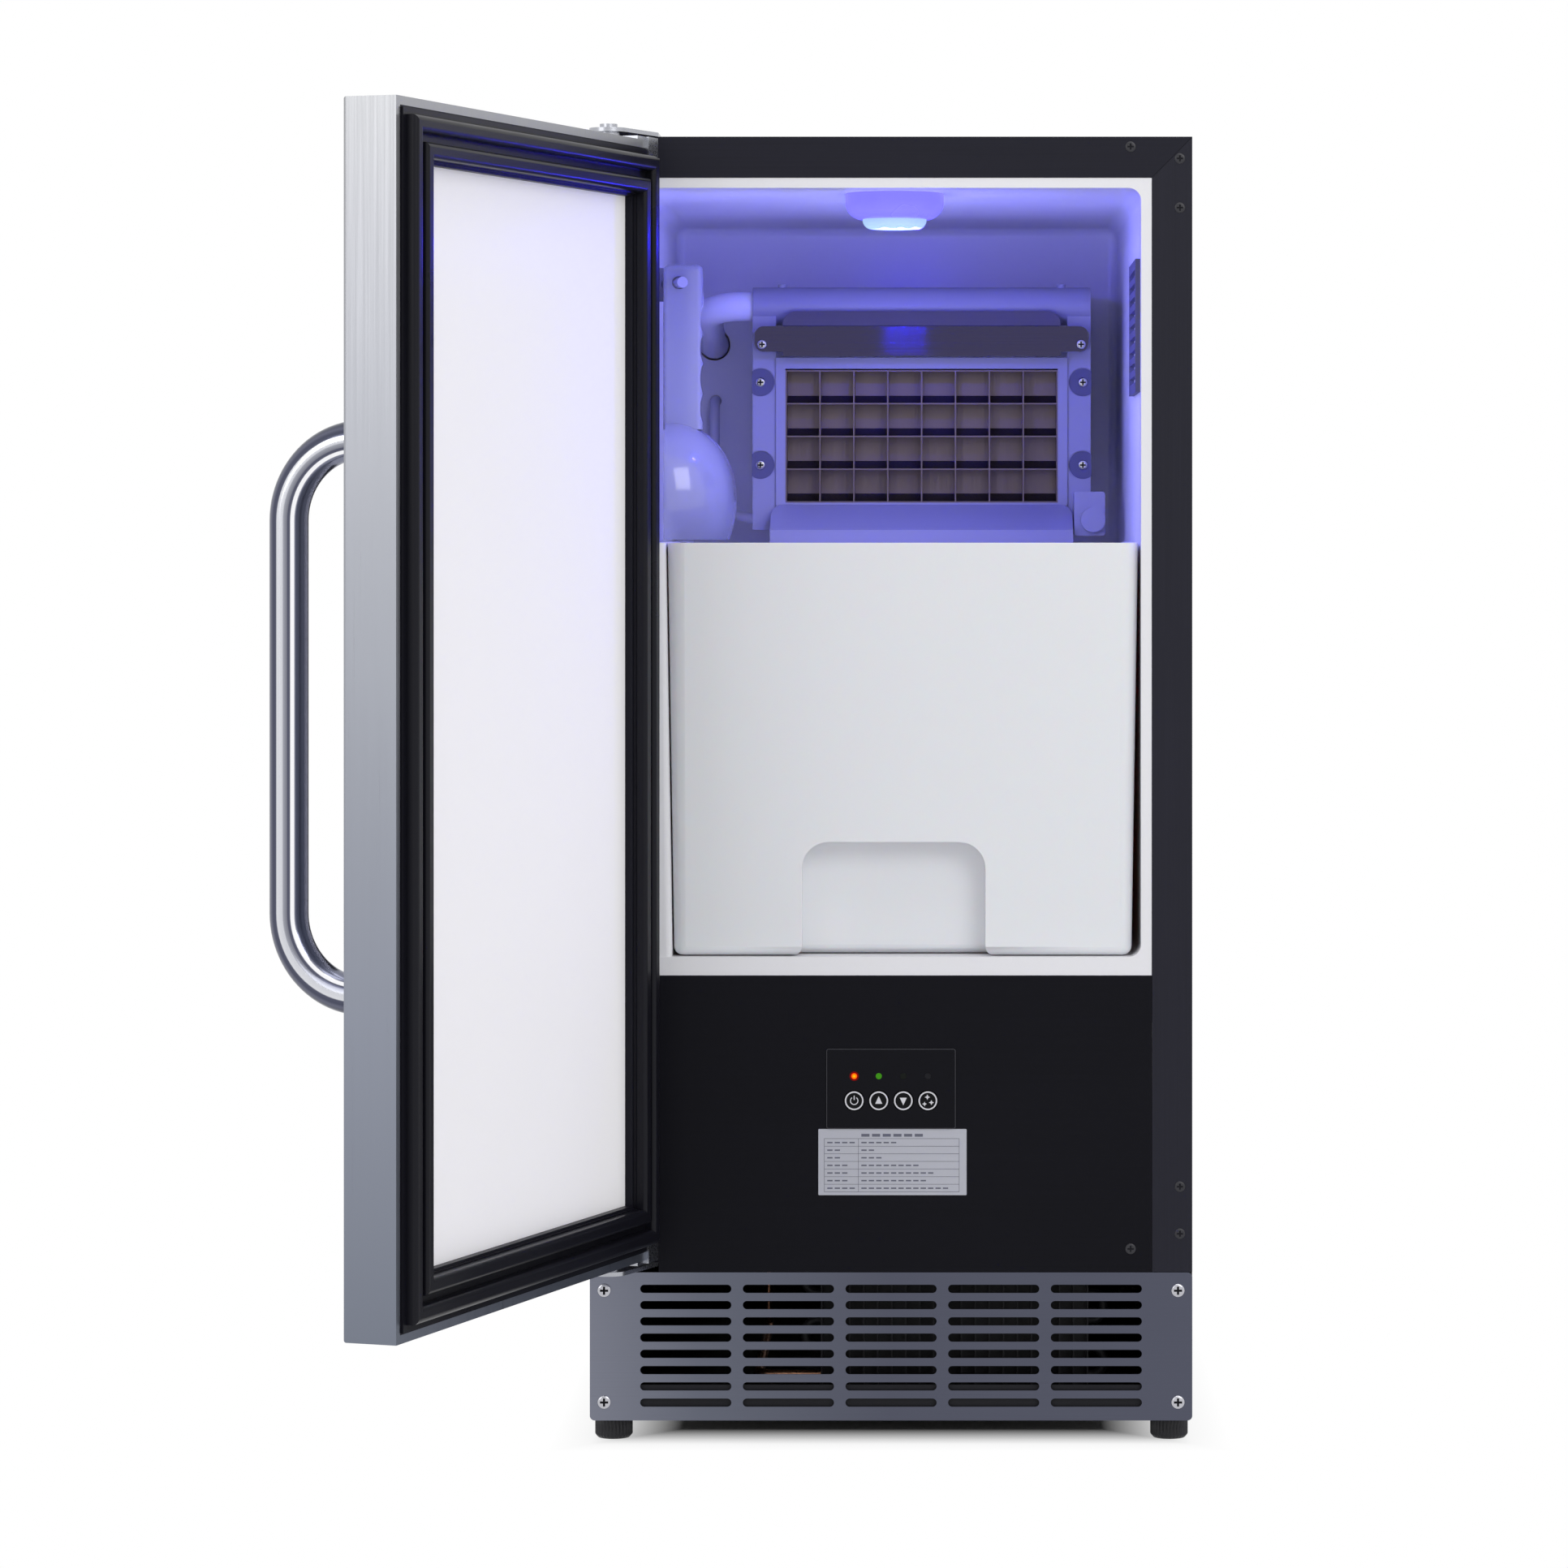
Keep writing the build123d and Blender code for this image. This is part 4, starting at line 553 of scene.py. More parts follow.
@dataclass(frozen=True)
class PaintedReflectionRail(Finish):
    """A polished tube bent to a rail: bands of painted reflection, dark and bright, follow the tube from its
    outer to its inner side.
    """

    depth: float = 0.00004
    low: Point = (0.0, 0.0, 0.0)
    high: Point = (0.0, 0.0, 1.0)
    painted_reflection_bands: Stops = ()

    def paint(self, coat: Coat) -> None:
        """Links the painted reflection bands, read from how far each place faces away from the line between
        low and high.

        Args:
            coat: The material's tree.
        """
        lines = self.scratches(coat, Grain.ALONG_Z)
        place = coat.own("Object")
        nearest = coat.vector("MINIMUM", coat.vector("MAXIMUM", place, self.low), self.high)
        away = coat.vector("NORMALIZE", coat.vector("SUBTRACT", place, nearest))
        facing = coat.vector("DOT_PRODUCT", away, coat.own("Normal"))
        # the colour is painted reflection: bright and dark bands by which way the surface faces
        coat.put("Base Color", coat.tinted(lines["Tone"], coat.graded(facing, self.painted_reflection_bands)))
        coat.put("Roughness", lines["Roughness"])
        self.raised(coat, lines["Height"])


@dataclass(frozen=True)
class Lit(Finish):
    """A lamp's lens: it glows, most in its middle."""

    grit: float = 400.0
    glow: Colour = (0.6, 0.9, 1.0)
    strength: float = 4.0
    centre: Point = (0.0, 0.0, 0.0)
    reach: float = 0.03
    rim: float = 0.35

    def paint(self, coat: Coat) -> None:
        """Links the glow, which falls off with the distance from the lens's middle.

        Args:
            coat: The material's tree.
        """
        skin = self.skin(coat)
        far = coat.vector("DISTANCE", coat.own("Object"), self.centre)
        share = coat.span(far, 0.0, self.reach, to_low=1.0, to_high=self.rim)
        coat.put("Base Color", coat.tinted(skin["Tone"], self.colour))
        coat.put("Roughness", skin["Roughness"])
        coat.put("Emission Color", coat.tinted(share, self.glow))
        coat.put("Emission Strength", self.strength)


@dataclass(frozen=True)
class LampRow(Finish):
    """The row of indicator lights: one material whose colour and glow depend on the place along X.

    The first lamp has a core that fades outwards from its middle.
    """

    grit: float = 700.0
    colours: tuple[Colour, ...] = ()
    glows: tuple[float, ...] = ()
    bounds: tuple[float, ...] = ()
    middle: Point = (0.0, 0.0, 0.0)
    core: Stops = ()

    def paint(self, coat: Coat) -> None:
        """Links each lamp's own colour and glow.

        Args:
            coat: The material's tree.
        """
        skin = self.skin(coat)
        place = coat.own("Object")
        along = coat.part(place, 0)
        off = coat.vector("DISTANCE", coat.vector("MULTIPLY", place, (1.0, 0.0, 1.0)), self.middle)
        colour: object = rgba(self.colours[0])
        glow = coat.graded(off, self.core)
        for edge, tint, power in zip(self.bounds, self.colours[1:], self.glows):
            past = coat.math("GREATER_THAN", along, edge)
            colour = coat.blended(past, colour, rgba(tint))
            glow = coat.blended(past, glow, rgba(tuple(c * power for c in tint)))
        coat.put("Base Color", coat.tinted(skin["Tone"], colour))
        coat.put("Roughness", skin["Roughness"])
        coat.put("Emission Color", glow)
        coat.put("Emission Strength", 1.0)


@dataclass(frozen=True)
class Clear(Finish):
    """Glass or clear plastic: light passes through it."""

    depth: float = 0.0002
    grit: float = 14.0
    smear: float = 0.03
    wiped: Pair = (0.55, 0.85)

    def paint(self, coat: Coat) -> None:
        """Links the faint smears that a wiped pane has.

        Args:
            coat: The material's tree.
        """
        skin = self.skin(coat)
        coat.put("Base Color", coat.tinted(skin["Tone"], self.colour))
        coat.put("Roughness", coat.span(skin["Height"], *self.wiped, self.polish, self.polish + self.smear))
        self.raised(coat, skin["Height"])


def constants(**values: object) -> Constants:
    """Names a shader's constant sockets, with spaces where a name here has underscores.

    Args:
        **values: The numbers and colours, by the socket's name.

    Returns:
        The pairs that a finish holds.
    """
    return tuple((name.replace("_", " "), value) for name, value in values.items())


def gloss(level: float) -> Constants:
    """Names the constant socket for how strongly a surface that isn't metal mirrors."""
    return constants(Specular_IOR_Level=level)


def glowing(colour: Colour, strength: float, **values: object) -> Constants:
    """Names the constant sockets of a surface that glows.

    Args:
        colour: The glow's colour.
        strength: The glow's strength.
        **values: The surface's other constant sockets.

    Returns:
        The pairs that a finish holds.
    """
    return constants(**values, Emission_Color=rgba(colour), Emission_Strength=strength)


class Palette:
    """Every finish of the ice maker, by name, built when it is first asked for."""

    def __init__(self, effects: Effects) -> None:
        """Lists the finishes: name, colour, polish, contrast, relief and constant sockets.

        Args:
            effects: The shared effects.
        """
        self.effects = effects
        self.built: dict[str, bpy.types.Material] = {}
        metal, steel = constants(Metallic=1.0), constants(Metallic=1.0, Anisotropic=0.5)
        across = Grain.ALONG_X
        mirrored = constants(Metallic=1.0, Anisotropic=1.0, Anisotropic_Rotation=0.25)
        # painted light and shade on the splash shield: the hood above 0.713 m lighter, the strip below darker
        # and bluer
        shield_painted_light_stops = ((0.69, (0.05, 0.046, 0.1)), (0.7128, (0.05, 0.046, 0.1)),
                        (0.7136, (0.24, 0.225, 0.27)), (0.74, (0.24, 0.225, 0.27)))
        # painted light on the kick grille: lighter towards the left, darker towards the right
        grille_painted_light_stops = ((-0.189, (0.2, 0.21, 0.26)), (-0.12, (0.13, 0.14, 0.18)),
                        (0.0, (0.09, 0.095, 0.13)), (0.189, (0.09, 0.095, 0.13)))
        # painted reflection on the door steel: lighter towards the top, darker towards the bottom
        door_painted_reflection_stops = ((0.12, (0.2, 0.22, 0.27)), (0.3, (0.28, 0.3, 0.36)), (0.5, (0.36, 0.375, 0.42)),
                      (0.75, (0.37, 0.375, 0.4)), (0.815, (0.38, 0.385, 0.4)))
        clear_plastic = constants(Transmission_Weight=0.35, IOR=1.46, Coat_Weight=0.6, Coat_Roughness=0.08)
        self.finishes = {finish.name: finish for finish in (
            Moulded("black_coat", (0.012, 0.012, 0.016), 0.5, 0.12, 0.05, gloss(0.2), grit=1300.0,
                    dusty=0.006),
            Brushed("black_trim", (0.013, 0.013, 0.021), 0.42, 0.5, 0.05, gloss(0.13), grain=across),
            # a lighter copy of the trims' black: painted light on the right trim
            Brushed("black_trim_right_painted_lighter", (0.016, 0.016, 0.025), 0.4, 0.5, 0.05, gloss(0.15)),
            Brushed("black_fascia", (0.006, 0.006, 0.009), 0.45, 0.5, 0.05, gloss(0.07), grain=across),
            Moulded("galvanised", (0.4, 0.42, 0.43), 0.36, 0.5, 0.06, metal, grit=60.0, dusty=0.15),
            # its stops paint light: lighter towards the left
            Brushed("grille_brushed", (0.1, 0.1, 0.13), 0.34, 0.2, 0.06, steel, grain=across, axis=0,
                    stops=grille_painted_light_stops),
            Moulded("black_screw", (0.02, 0.02, 0.026), 0.36, 0.1, 0.04, gloss(0.4)),
            Brushed("bright_screw", (0.5, 0.5, 0.54), 0.22, 0.2, 0.05, metal, grain=across),
            # the screws' cross recesses: painted shade, darker than the heads
            Moulded("recess_painted_shade", (0.012, 0.012, 0.016), 0.6, 0.1, 0.04, gloss(0.1)),
            Moulded("liner_white", (0.85, 0.85, 0.88), 0.34, 0.04, 0.04,
                    constants(Coat_Weight=0.15, Coat_Roughness=0.2), grit=500.0),
            Moulded("foam", (0.82, 0.74, 0.5), 0.85, 0.25, 0.4, grit=260.0),
            # a red glowing ring round the first indicator: painted glow of its light on the overlay
            Moulded("halo_painted_glow", (0.02, 0.002, 0.002), 0.4, 0.06, 0.02,
                    glowing((0.16, 0.0, 0.0), 1.0, Specular_IOR_Level=0.05)),
            Moulded("edge_grey", (0.03, 0.03, 0.04), 0.4, 0.06, 0.02),
            Moulded("overlay_black", (0.003, 0.003, 0.006), 0.18, 0.1, 0.02, gloss(0.1), grit=1500.0),
            Moulded("control_case", (0.05, 0.05, 0.055), 0.5, 0.1, 0.1),
            # the lamp's housing glows blue: painted glow of the lamp's light on it
            Moulded("lamp_body", (0.2, 0.19, 0.75), 0.25, 0.1, 0.04,
                    glowing((0.14, 0.12, 0.85), 1.0, Transmission_Weight=0.25, IOR=1.3)),
            Moulded("white_plastic", (0.74, 0.74, 0.8), 0.38, 0.05, 0.05, constants(Coat_Weight=0.1)),
            Moulded("shaded_plastic", (0.1, 0.1, 0.17), 0.5, 0.1, 0.05, gloss(0.2)),
            # the evaporator's plastic parts, white in life, painted darker and bluer: painted shade and blue
            # lamp light
            Moulded("evaporator_plastic_painted_shade", (0.27, 0.27, 0.36), 0.4, 0.06, 0.05, constants(Coat_Weight=0.1)),
            # level faces of the grid's shelves are darker: painted shade and dark reflection
            Brushed("tinned_copper", (0.16, 0.13, 0.15), 0.42, 0.25, 0.05, metal, level_painted_shade=(0.035, 0.028, 0.05)),
            Brushed("copper", (0.72, 0.38, 0.24), 0.3, 0.3, 0.05, metal),
            # its stops paint light and shade: a lighter hood over a darker strip
            Brushed("shield_steel", (0.055, 0.05, 0.11), 0.13, 0.12, 0.0005, mirrored, grain=across,
                    stops=shield_painted_light_stops),
            # dark discs behind the surround's screws: painted shade of their seats
            Moulded("seat_painted_shade", (0.11, 0.11, 0.17), 0.5, 0.06, 0.04, gloss(0.2)),
            Moulded("hose_white", (0.7, 0.7, 0.78), 0.4, 0.08, 0.08,
                    constants(Subsurface_Weight=0.1, Subsurface_Scale=0.004)),
            Moulded("dark_plastic", (0.02, 0.02, 0.024), 0.45, 0.15, 0.1, gloss(0.3)),
            Moulded("compressor_black", (0.012, 0.012, 0.014), 0.35, 0.2, 0.12, constants(Coat_Weight=0.2),
                    grit=200.0, dusty=0.1),
            Moulded("black_rubber", (0.012, 0.012, 0.014), 0.7, 0.15, 0.15, gloss(0.2), grit=1200.0),
            Moulded("foot_black", (0.014, 0.014, 0.018), 0.45, 0.15, 0.1, gloss(0.4), grit=1200.0),
            Brushed("fin_aluminium", (0.6, 0.61, 0.62), 0.4, 0.35, 0.1, metal),
            Moulded("fin_black", (0.02, 0.02, 0.024), 0.5, 0.3, 0.1, gloss(0.3), grit=300.0, dusty=0.1),
            Moulded("valve_plastic", (0.7, 0.7, 0.66), 0.45, 0.08, 0.08),
            Brushed("zinc", (0.45, 0.46, 0.5), 0.28, 0.25, 0.06, metal, grain=across),
            # its stops paint a reflection: lighter towards the top
            Brushed("door_steel", (0.6, 0.61, 0.66), 0.34, 0.08, 0.03, steel, stops=door_painted_reflection_stops),
            Moulded("inner_frame", (0.009, 0.009, 0.014), 0.36, 0.12, 0.05, gloss(0.1), grit=1300.0),
            Moulded("gasket_black", (0.007, 0.007, 0.011), 0.3, 0.15, 0.06, gloss(0.15), grit=1500.0),
            Clear("pane", (0.912, 0.907, 0.929), 0.0, 0.01, 0.004,
                  constants(Transmission_Weight=1.0, IOR=1.12)),
            # the inner pane glows faintly: painted light that evens out its brightness
            Clear("inner_pane_painted_glow", (0.87, 0.865, 0.88), 0.35, 0.01, 0.003,
                  glowing((0.5, 0.49, 0.5), 0.32, Transmission_Weight=0.1, IOR=1.06)),
            Moulded("bin_plastic", (0.85, 0.853, 0.885), 0.34, 0.025, 0.02,
                    constants(Subsurface_Weight=0.15, Subsurface_Scale=0.01)),
            Moulded("scoop_plastic", (0.34, 0.35, 0.42), 0.14, 0.05, 0.03, clear_plastic),
            Moulded("button_grey", (0.004, 0.004, 0.005), 0.3, 0.1, 0.04, gloss(0.1)),
            Moulded("print_white", (0.7, 0.7, 0.74), 0.45, 0.05, 0.02),
            Moulded("card_grey", (0.5, 0.51, 0.57), 0.5, 0.06, 0.02, gloss(0.2)),
            Moulded("card_line", (0.11, 0.115, 0.15), 0.5, 0.06, 0.02),
            Moulded("card_print", (0.12, 0.125, 0.17), 0.5, 0.06, 0.02),
        )}

    def add(self, finish: Finish) -> None:
        """Adds a finish that needs sizes from the frame."""
        self.finishes[finish.name] = finish

    def get(self, name: str) -> bpy.types.Material:
        """Gives a finish's material.

        Args:
            name: The finish's name.

        Returns:
            The material, built once.
        """
        if name not in self.built:
            self.built[name] = self.finishes[name].build(self.effects)
        return self.built[name]


# ---------------------------------------------------------------- making pieces


class Shop:
    """Makes pieces and dresses the frame's own."""

    def __init__(self, frame: dict, palette: Palette) -> None:
        """Keeps the frame and the palette.

        Args:
            palette: The finishes.
        """
        self.frame = frame
        self.palette = palette

    def dress(self, node: str, finish: str) -> None:
        """Gives a node of the frame its finish.

        Args:
            node: The node's name.
            finish: The finish's name.
        """
        made = self.frame["nodes"][node]
        material = self.palette.get(finish)
        if not made.material_slots:
            made.data.materials.append(material)
        for holder in made.material_slots:
            holder.material = material
        LOG.info("dressed %s in %s", node, finish)

    def piece(self, name: str, mesh: Mesh, finish: str, body: str,
              smooth: float = 40.0) -> bpy.types.Object:
        """Turns a mesh into a piece that rides on a body.

        Args:
            name: The piece's name.
            mesh: Its mesh, which is freed.
            finish: The finish's name.
            body: The body that it rides on.
            smooth: Edges flatter than this many degrees are shaded smooth.

        Returns:
            The piece.
        """
        data = bpy.data.meshes.new(name)
        bmesh.ops.recalc_face_normals(mesh, faces=mesh.faces[:])
        mesh.to_mesh(data)
        mesh.free()
        data.shade_smooth()
        data.set_sharp_from_angle(angle=math.radians(smooth))
        made = stood(name, data)
        made.data.materials.append(self.palette.get(finish))
        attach(made, body)
        LOG.info("made %s: %d faces", name, len(data.polygons))
        return made


def stood(name: str, data: bpy.types.ID) -> bpy.types.Object:
    """Makes an object and puts it into the scene.

    Args:
        name: The object's name.
        data: Its mesh, light or camera.

    Returns:
        The object.
    """
    made = bpy.data.objects.new(name, data)
    bpy.context.scene.collection.objects.link(made)
    return made


def stacked(mesh: Mesh, rings: Sequence[Sequence[Point]], placed: Matrix) -> None:
    """Joins rings of as many points each. A ring of one point closes an end.

    Args:
        mesh: The mesh to add to.
        rings: The rings, from the bottom to the top.
        placed: Where they go.
    """
    made = [[mesh.verts.new(placed @ Vector(point)) for point in ring] for ring in rings]
    sides = max(len(ring) for ring in made)
    for low, high in zip(made, made[1:]):
        for k in range(sides):
            n = (k + 1) % sides
            corners = [low[k % len(low)], low[n % len(low)], high[n % len(high)], high[k % len(high)]]
            unique = list(dict.fromkeys(corners))
            if len(unique) > 2:
                mesh.faces.new(unique)


def circle(radius: float, height: float, sides: int) -> list[Point]:
    """Gives a level ring of points, or the middle alone where the radius is 0.

    Args:
        radius: The ring's radius.
        height: The ring's height.
        sides: How many points it has.

    Returns:
        The points, in order.
    """
    if radius == 0.0:
        return [(0.0, 0.0, height)]
    angles = [2 * math.pi * k / sides for k in range(sides)]
    return [(radius * math.cos(a), radius * math.sin(a), height) for a in angles]


def turned(mesh: Mesh, outline: Sequence[Pair], sides: int, placed: Matrix) -> None:
    """Adds a turned form about local Z.

    Args:
        mesh: The mesh to add to.
        outline: (radius, height) pairs from the bottom to the top. A radius of 0 closes an end.
        sides: How many sides it has.
        placed: Where it goes.
    """
    stacked(mesh, [circle(radius, height, sides) for radius, height in outline], placed)


def prism(mesh: Mesh, outline: Sequence[Pair], low: float, high: float, placed: Matrix) -> None:
    """Adds a flat form: an outline in local X and Y, from one height to another.

    Args:
        mesh: The mesh to add to.
        outline: The outline's points, in order.
        low: The bottom's height.
        high: The top's height.
        placed: Where it goes.
    """
    ends = [[mesh.verts.new(placed @ Vector((x, y, z))) for x, y in outline] for z in (low, high)]
    count = len(outline)
    mesh.faces.new(ends[0][::-1])
    mesh.faces.new(ends[1])
    for k in range(count):
        n = (k + 1) % count
        mesh.faces.new([ends[0][k], ends[0][n], ends[1][n], ends[1][k]])


def band(mesh: Mesh, inner: Sequence[Pair], outer: Sequence[Pair], high: float, placed: Matrix,
         closed: bool = True) -> None:
    """Adds a ring or arc between two outlines with as many points, on local Z = 0.

    Args:
        mesh: The mesh to add to.
        inner: The inner outline.
        outer: The outer outline.
        high: The top's height.
        placed: Where it goes.
        closed: Whether the last point joins the first.
    """
    count = len(inner) if closed else len(inner) - 1
    wall = [[mesh.verts.new(placed @ Vector((x, y, z))) for x, y in line]
            for line in (inner, outer) for z in (0.0, high)]
    for k in range(count):
        n = (k + 1) % len(inner)
        for a, b in ((0, 1), (1, 3), (3, 2), (2, 0)):
            mesh.faces.new([wall[a][k], wall[a][n], wall[b][n], wall[b][k]])
    if not closed:
        for k in (0, -1):
            mesh.faces.new([wall[0][k], wall[1][k], wall[3][k], wall[2][k]])


def arc(radius: float, start: float, end: float, steps: int, centre: Pair = (0.0, 0.0)) -> list[Pair]:
    """Gives points on an arc.

    Args:
        radius: The arc's radius.
        start: The first angle in degrees.
        end: The last angle in degrees.
        steps: How many runs it has.
        centre: The arc's centre.

    Returns:
        The points, one more than the runs.
    """
    angles = [math.radians(start + (end - start) * k / steps) for k in range(steps + 1)]
    return [(centre[0] + radius * math.cos(a), centre[1] + radius * math.sin(a)) for a in angles]


def ring(radius: float, sides: int) -> list[Pair]:
    """Gives the points of a whole circle."""
    return arc(radius, 0.0, 360.0, sides)[:-1]


def rounded(half_x: float, half_y: float, radius: float, centre: Pair = (0.0, 0.0),
            steps: int = 5) -> list[Pair]:
    """Gives a rectangle's outline with rounded corners.

    Args:
        half_x: Half its width.
        half_y: Half its height.
        radius: The corners' radius.
        centre: Its middle.
        steps: How many runs a corner has.

    Returns:
        The points, in order.
    """
    points: list[Pair] = []
    for k, (sx, sy) in enumerate(((1, 1), (-1, 1), (-1, -1), (1, -1))):
        middle = (centre[0] + sx * (half_x - radius), centre[1] + sy * (half_y - radius))
        points += arc(radius, 90.0 * k, 90.0 * (k + 1), steps, middle)
    return points


def facing_front(x: float, y: float, z: float) -> Matrix:
    """Places local Z towards the front (-Y), local X along X and local Y along Z, at a point in metres."""
    return Matrix.Translation((x, y, z)) @ Matrix.Rotation(math.radians(90.0), 4, "X")


def on_face(corners: Sequence[Vector], behind: float = 0.0) -> Matrix:
    """Places local Z towards the front, at the middle of a box's front face.

    Args:
        corners: The box's lowest and highest corner.
        behind: How far behind the face.

    Returns:
        The place.
    """
    low, high = corners
    return facing_front((low.x + high.x) / 2, low.y + behind, (low.z + high.z) / 2)


def islands(made: bpy.types.Object) -> list[tuple[Vector, Vector]]:
    """Finds the separate forms in a node.

    Args:
        made: The node's object.

    Returns:
        The lowest and highest corner of each.
    """
    mesh = bmesh.new()
    mesh.from_mesh(made.data)
    bmesh.ops.remove_doubles(mesh, verts=mesh.verts[:], dist=TINY)
    left = set(mesh.verts)
    found = []
    while left:
        group, edge = set(), {left.pop()}
        while edge:
            vert = edge.pop()
            group.add(vert)
            edge |= {link.other_vert(vert) for link in vert.link_edges} - group
        left -= group
        axes = list(zip(*(vert.co for vert in group)))
        found.append((Vector([min(axis) for axis in axes]), Vector([max(axis) for axis in axes])))
    mesh.free()
    return sorted(found, key=lambda corners: tuple(corners[0]))


# ---------------------------------------------------------------- sub-assemblies


@dataclass
class Studio:
    """The floor, the light and the camera. Lamps are a name, a place, a side in metres and a power."""

    eye: Point = (0.02994, -3.2656, 0.5748)
    lens: float = 119.5
    sensor: float = 36.0
    shift: Pair = (-0.0987, -0.163)
    sight: float = 100.0
    lamps: tuple[tuple[str, Point, float, float], ...] = (
        ("key", (1.5, -2.6, 2.1), 1.6, 30.0), ("fill", (-2.1, -2.3, 1.5), 1.6, 14.0),
        ("overhead", (0.1, -0.4, 2.9), 1.8, 16.0))
    lit_point: Point = (0.0, 0.1, 0.42)
    floor_half: float = 9.0
    floor_colour: Colour = (0.8, 0.8, 0.8)
    floor_polish: float = 0.9
    ambient: float = 0.5
    shade_reach: float = 0.055
    near_white: float = 0.88
    fade: float = 0.025

    def build(self) -> None:
        """Sets the stage."""
        self.world()
        self.floor()
        for lamp in self.lamps:
            self.lamp(*lamp)
        camera = stood("camera", bpy.data.cameras.new("camera"))
        camera.location, camera.rotation_euler = self.eye, (math.radians(90.0), 0.0, 0.0)
        camera.data.lens, camera.data.sensor_width = self.lens, self.sensor
        camera.data.shift_x, camera.data.shift_y = self.shift
        camera.data.clip_end = self.sight
        bpy.context.scene.camera = camera
        bpy.context.scene.view_settings.view_transform = "Standard"
        LOG.info("stage set")

    def seen_directly(self, tree: Tree) -> Socket:
        """Gives 1 where the camera, a mirror or a pane looks straight at the stage.

        Args:
            tree: The tree of the world or floor.

        Returns:
            The mask's socket.
        """
        path = tree.node("ShaderNodeLightPath")
        seen = tree.math("MAXIMUM", path.outputs["Is Camera Ray"], path.outputs["Is Glossy Ray"])
        return tree.math("MAXIMUM", seen, path.outputs["Is Transmission Ray"])

    def world(self) -> None:
        """Makes a white surround that lights softly."""
        world = bpy.data.worlds.new("surround")
        bpy.context.scene.world = world
        world.use_nodes = True
        tree = Tree(world.node_tree)
        back = world.node_tree.nodes["Background"]
        back.inputs["Color"].default_value = rgba((1.0, 1.0, 1.0))
        tree.link(tree.span(self.seen_directly(tree), 0.0, 1.0, to_low=self.ambient), back.inputs["Strength"])

    def floor(self) -> None:
        """Makes the plain pale floor, which keeps the shadow."""
        half = self.floor_half
        corners = [(-half, -half, 0), (half, -half, 0), (half, half, 0), (-half, half, 0)]
        data = bpy.data.meshes.new("floor")
        data.from_pydata(corners, [], [(0, 1, 2, 3)])
        floor = stood("floor", data)
        material = bpy.data.materials.new("floor")
        material.use_nodes = True
        tree = Tree(material.node_tree)
        shader = material.node_tree.nodes["Principled BSDF"]
        shader.inputs["Base Color"].default_value = rgba(self.floor_colour)
        shader.inputs["Roughness"].default_value = self.floor_polish
        shader.inputs["Specular IOR Level"].default_value = 0.0
        mixed = tree.node("ShaderNodeMixShader")
        tree.link(tree.math("MULTIPLY", self.seen_directly(tree), self.clear_of_base(tree)), mixed.inputs[0])
        tree.link(shader.outputs[0], mixed.inputs[1])
        tree.link(tree.node("ShaderNodeEmission").outputs[0], mixed.inputs[2])
        tree.link(mixed.outputs[0], material.node_tree.nodes["Material Output"].inputs["Surface"])
        floor.data.materials.append(material)

    def clear_of_base(self, tree: Tree) -> Socket:
        """Gives 1 on the open floor and 0 under the cabinet, so that the shadow below it is kept.

        Args:
            tree: The floor's tree.

        Returns:
            The mask's socket.
        """
        low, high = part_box("cabinet_wrapper")
        where = tree.node("ShaderNodeTexCoord").outputs["Object"]
        gaps = []
        for axis in (0, 1):
            middle, half = (low[axis] + high[axis]) / 2, (high[axis] - low[axis]) / 2
            off = tree.math("ABSOLUTE", tree.math("SUBTRACT", tree.part(where, axis), middle))
            gaps.append(tree.math("SUBTRACT", off, half))
        outside = tree.math("MAXIMUM", *gaps)
        near = tree.span(outside, -self.shade_reach, 0.0, to_high=self.near_white)
        return tree.math("ADD", near, tree.span(outside, 0.0, self.fade, to_high=1.0 - self.near_white))

    def lamp(self, name: str, place: Point, size: float, power: float) -> None:
        """Hangs a square lamp that looks at the machine.

        Args:
            name: The lamp's name.
            place: Where it hangs.
            size: Its side in metres.
            power: Its power in watts.
        """
        light = bpy.data.lights.new(name, "AREA")
        light.size, light.energy = size, power
        made = stood(name, light)
        made.location = place
        made.rotation_euler = (Vector(self.lit_point) - Vector(place)).to_track_quat("-Z", "Y").to_euler()


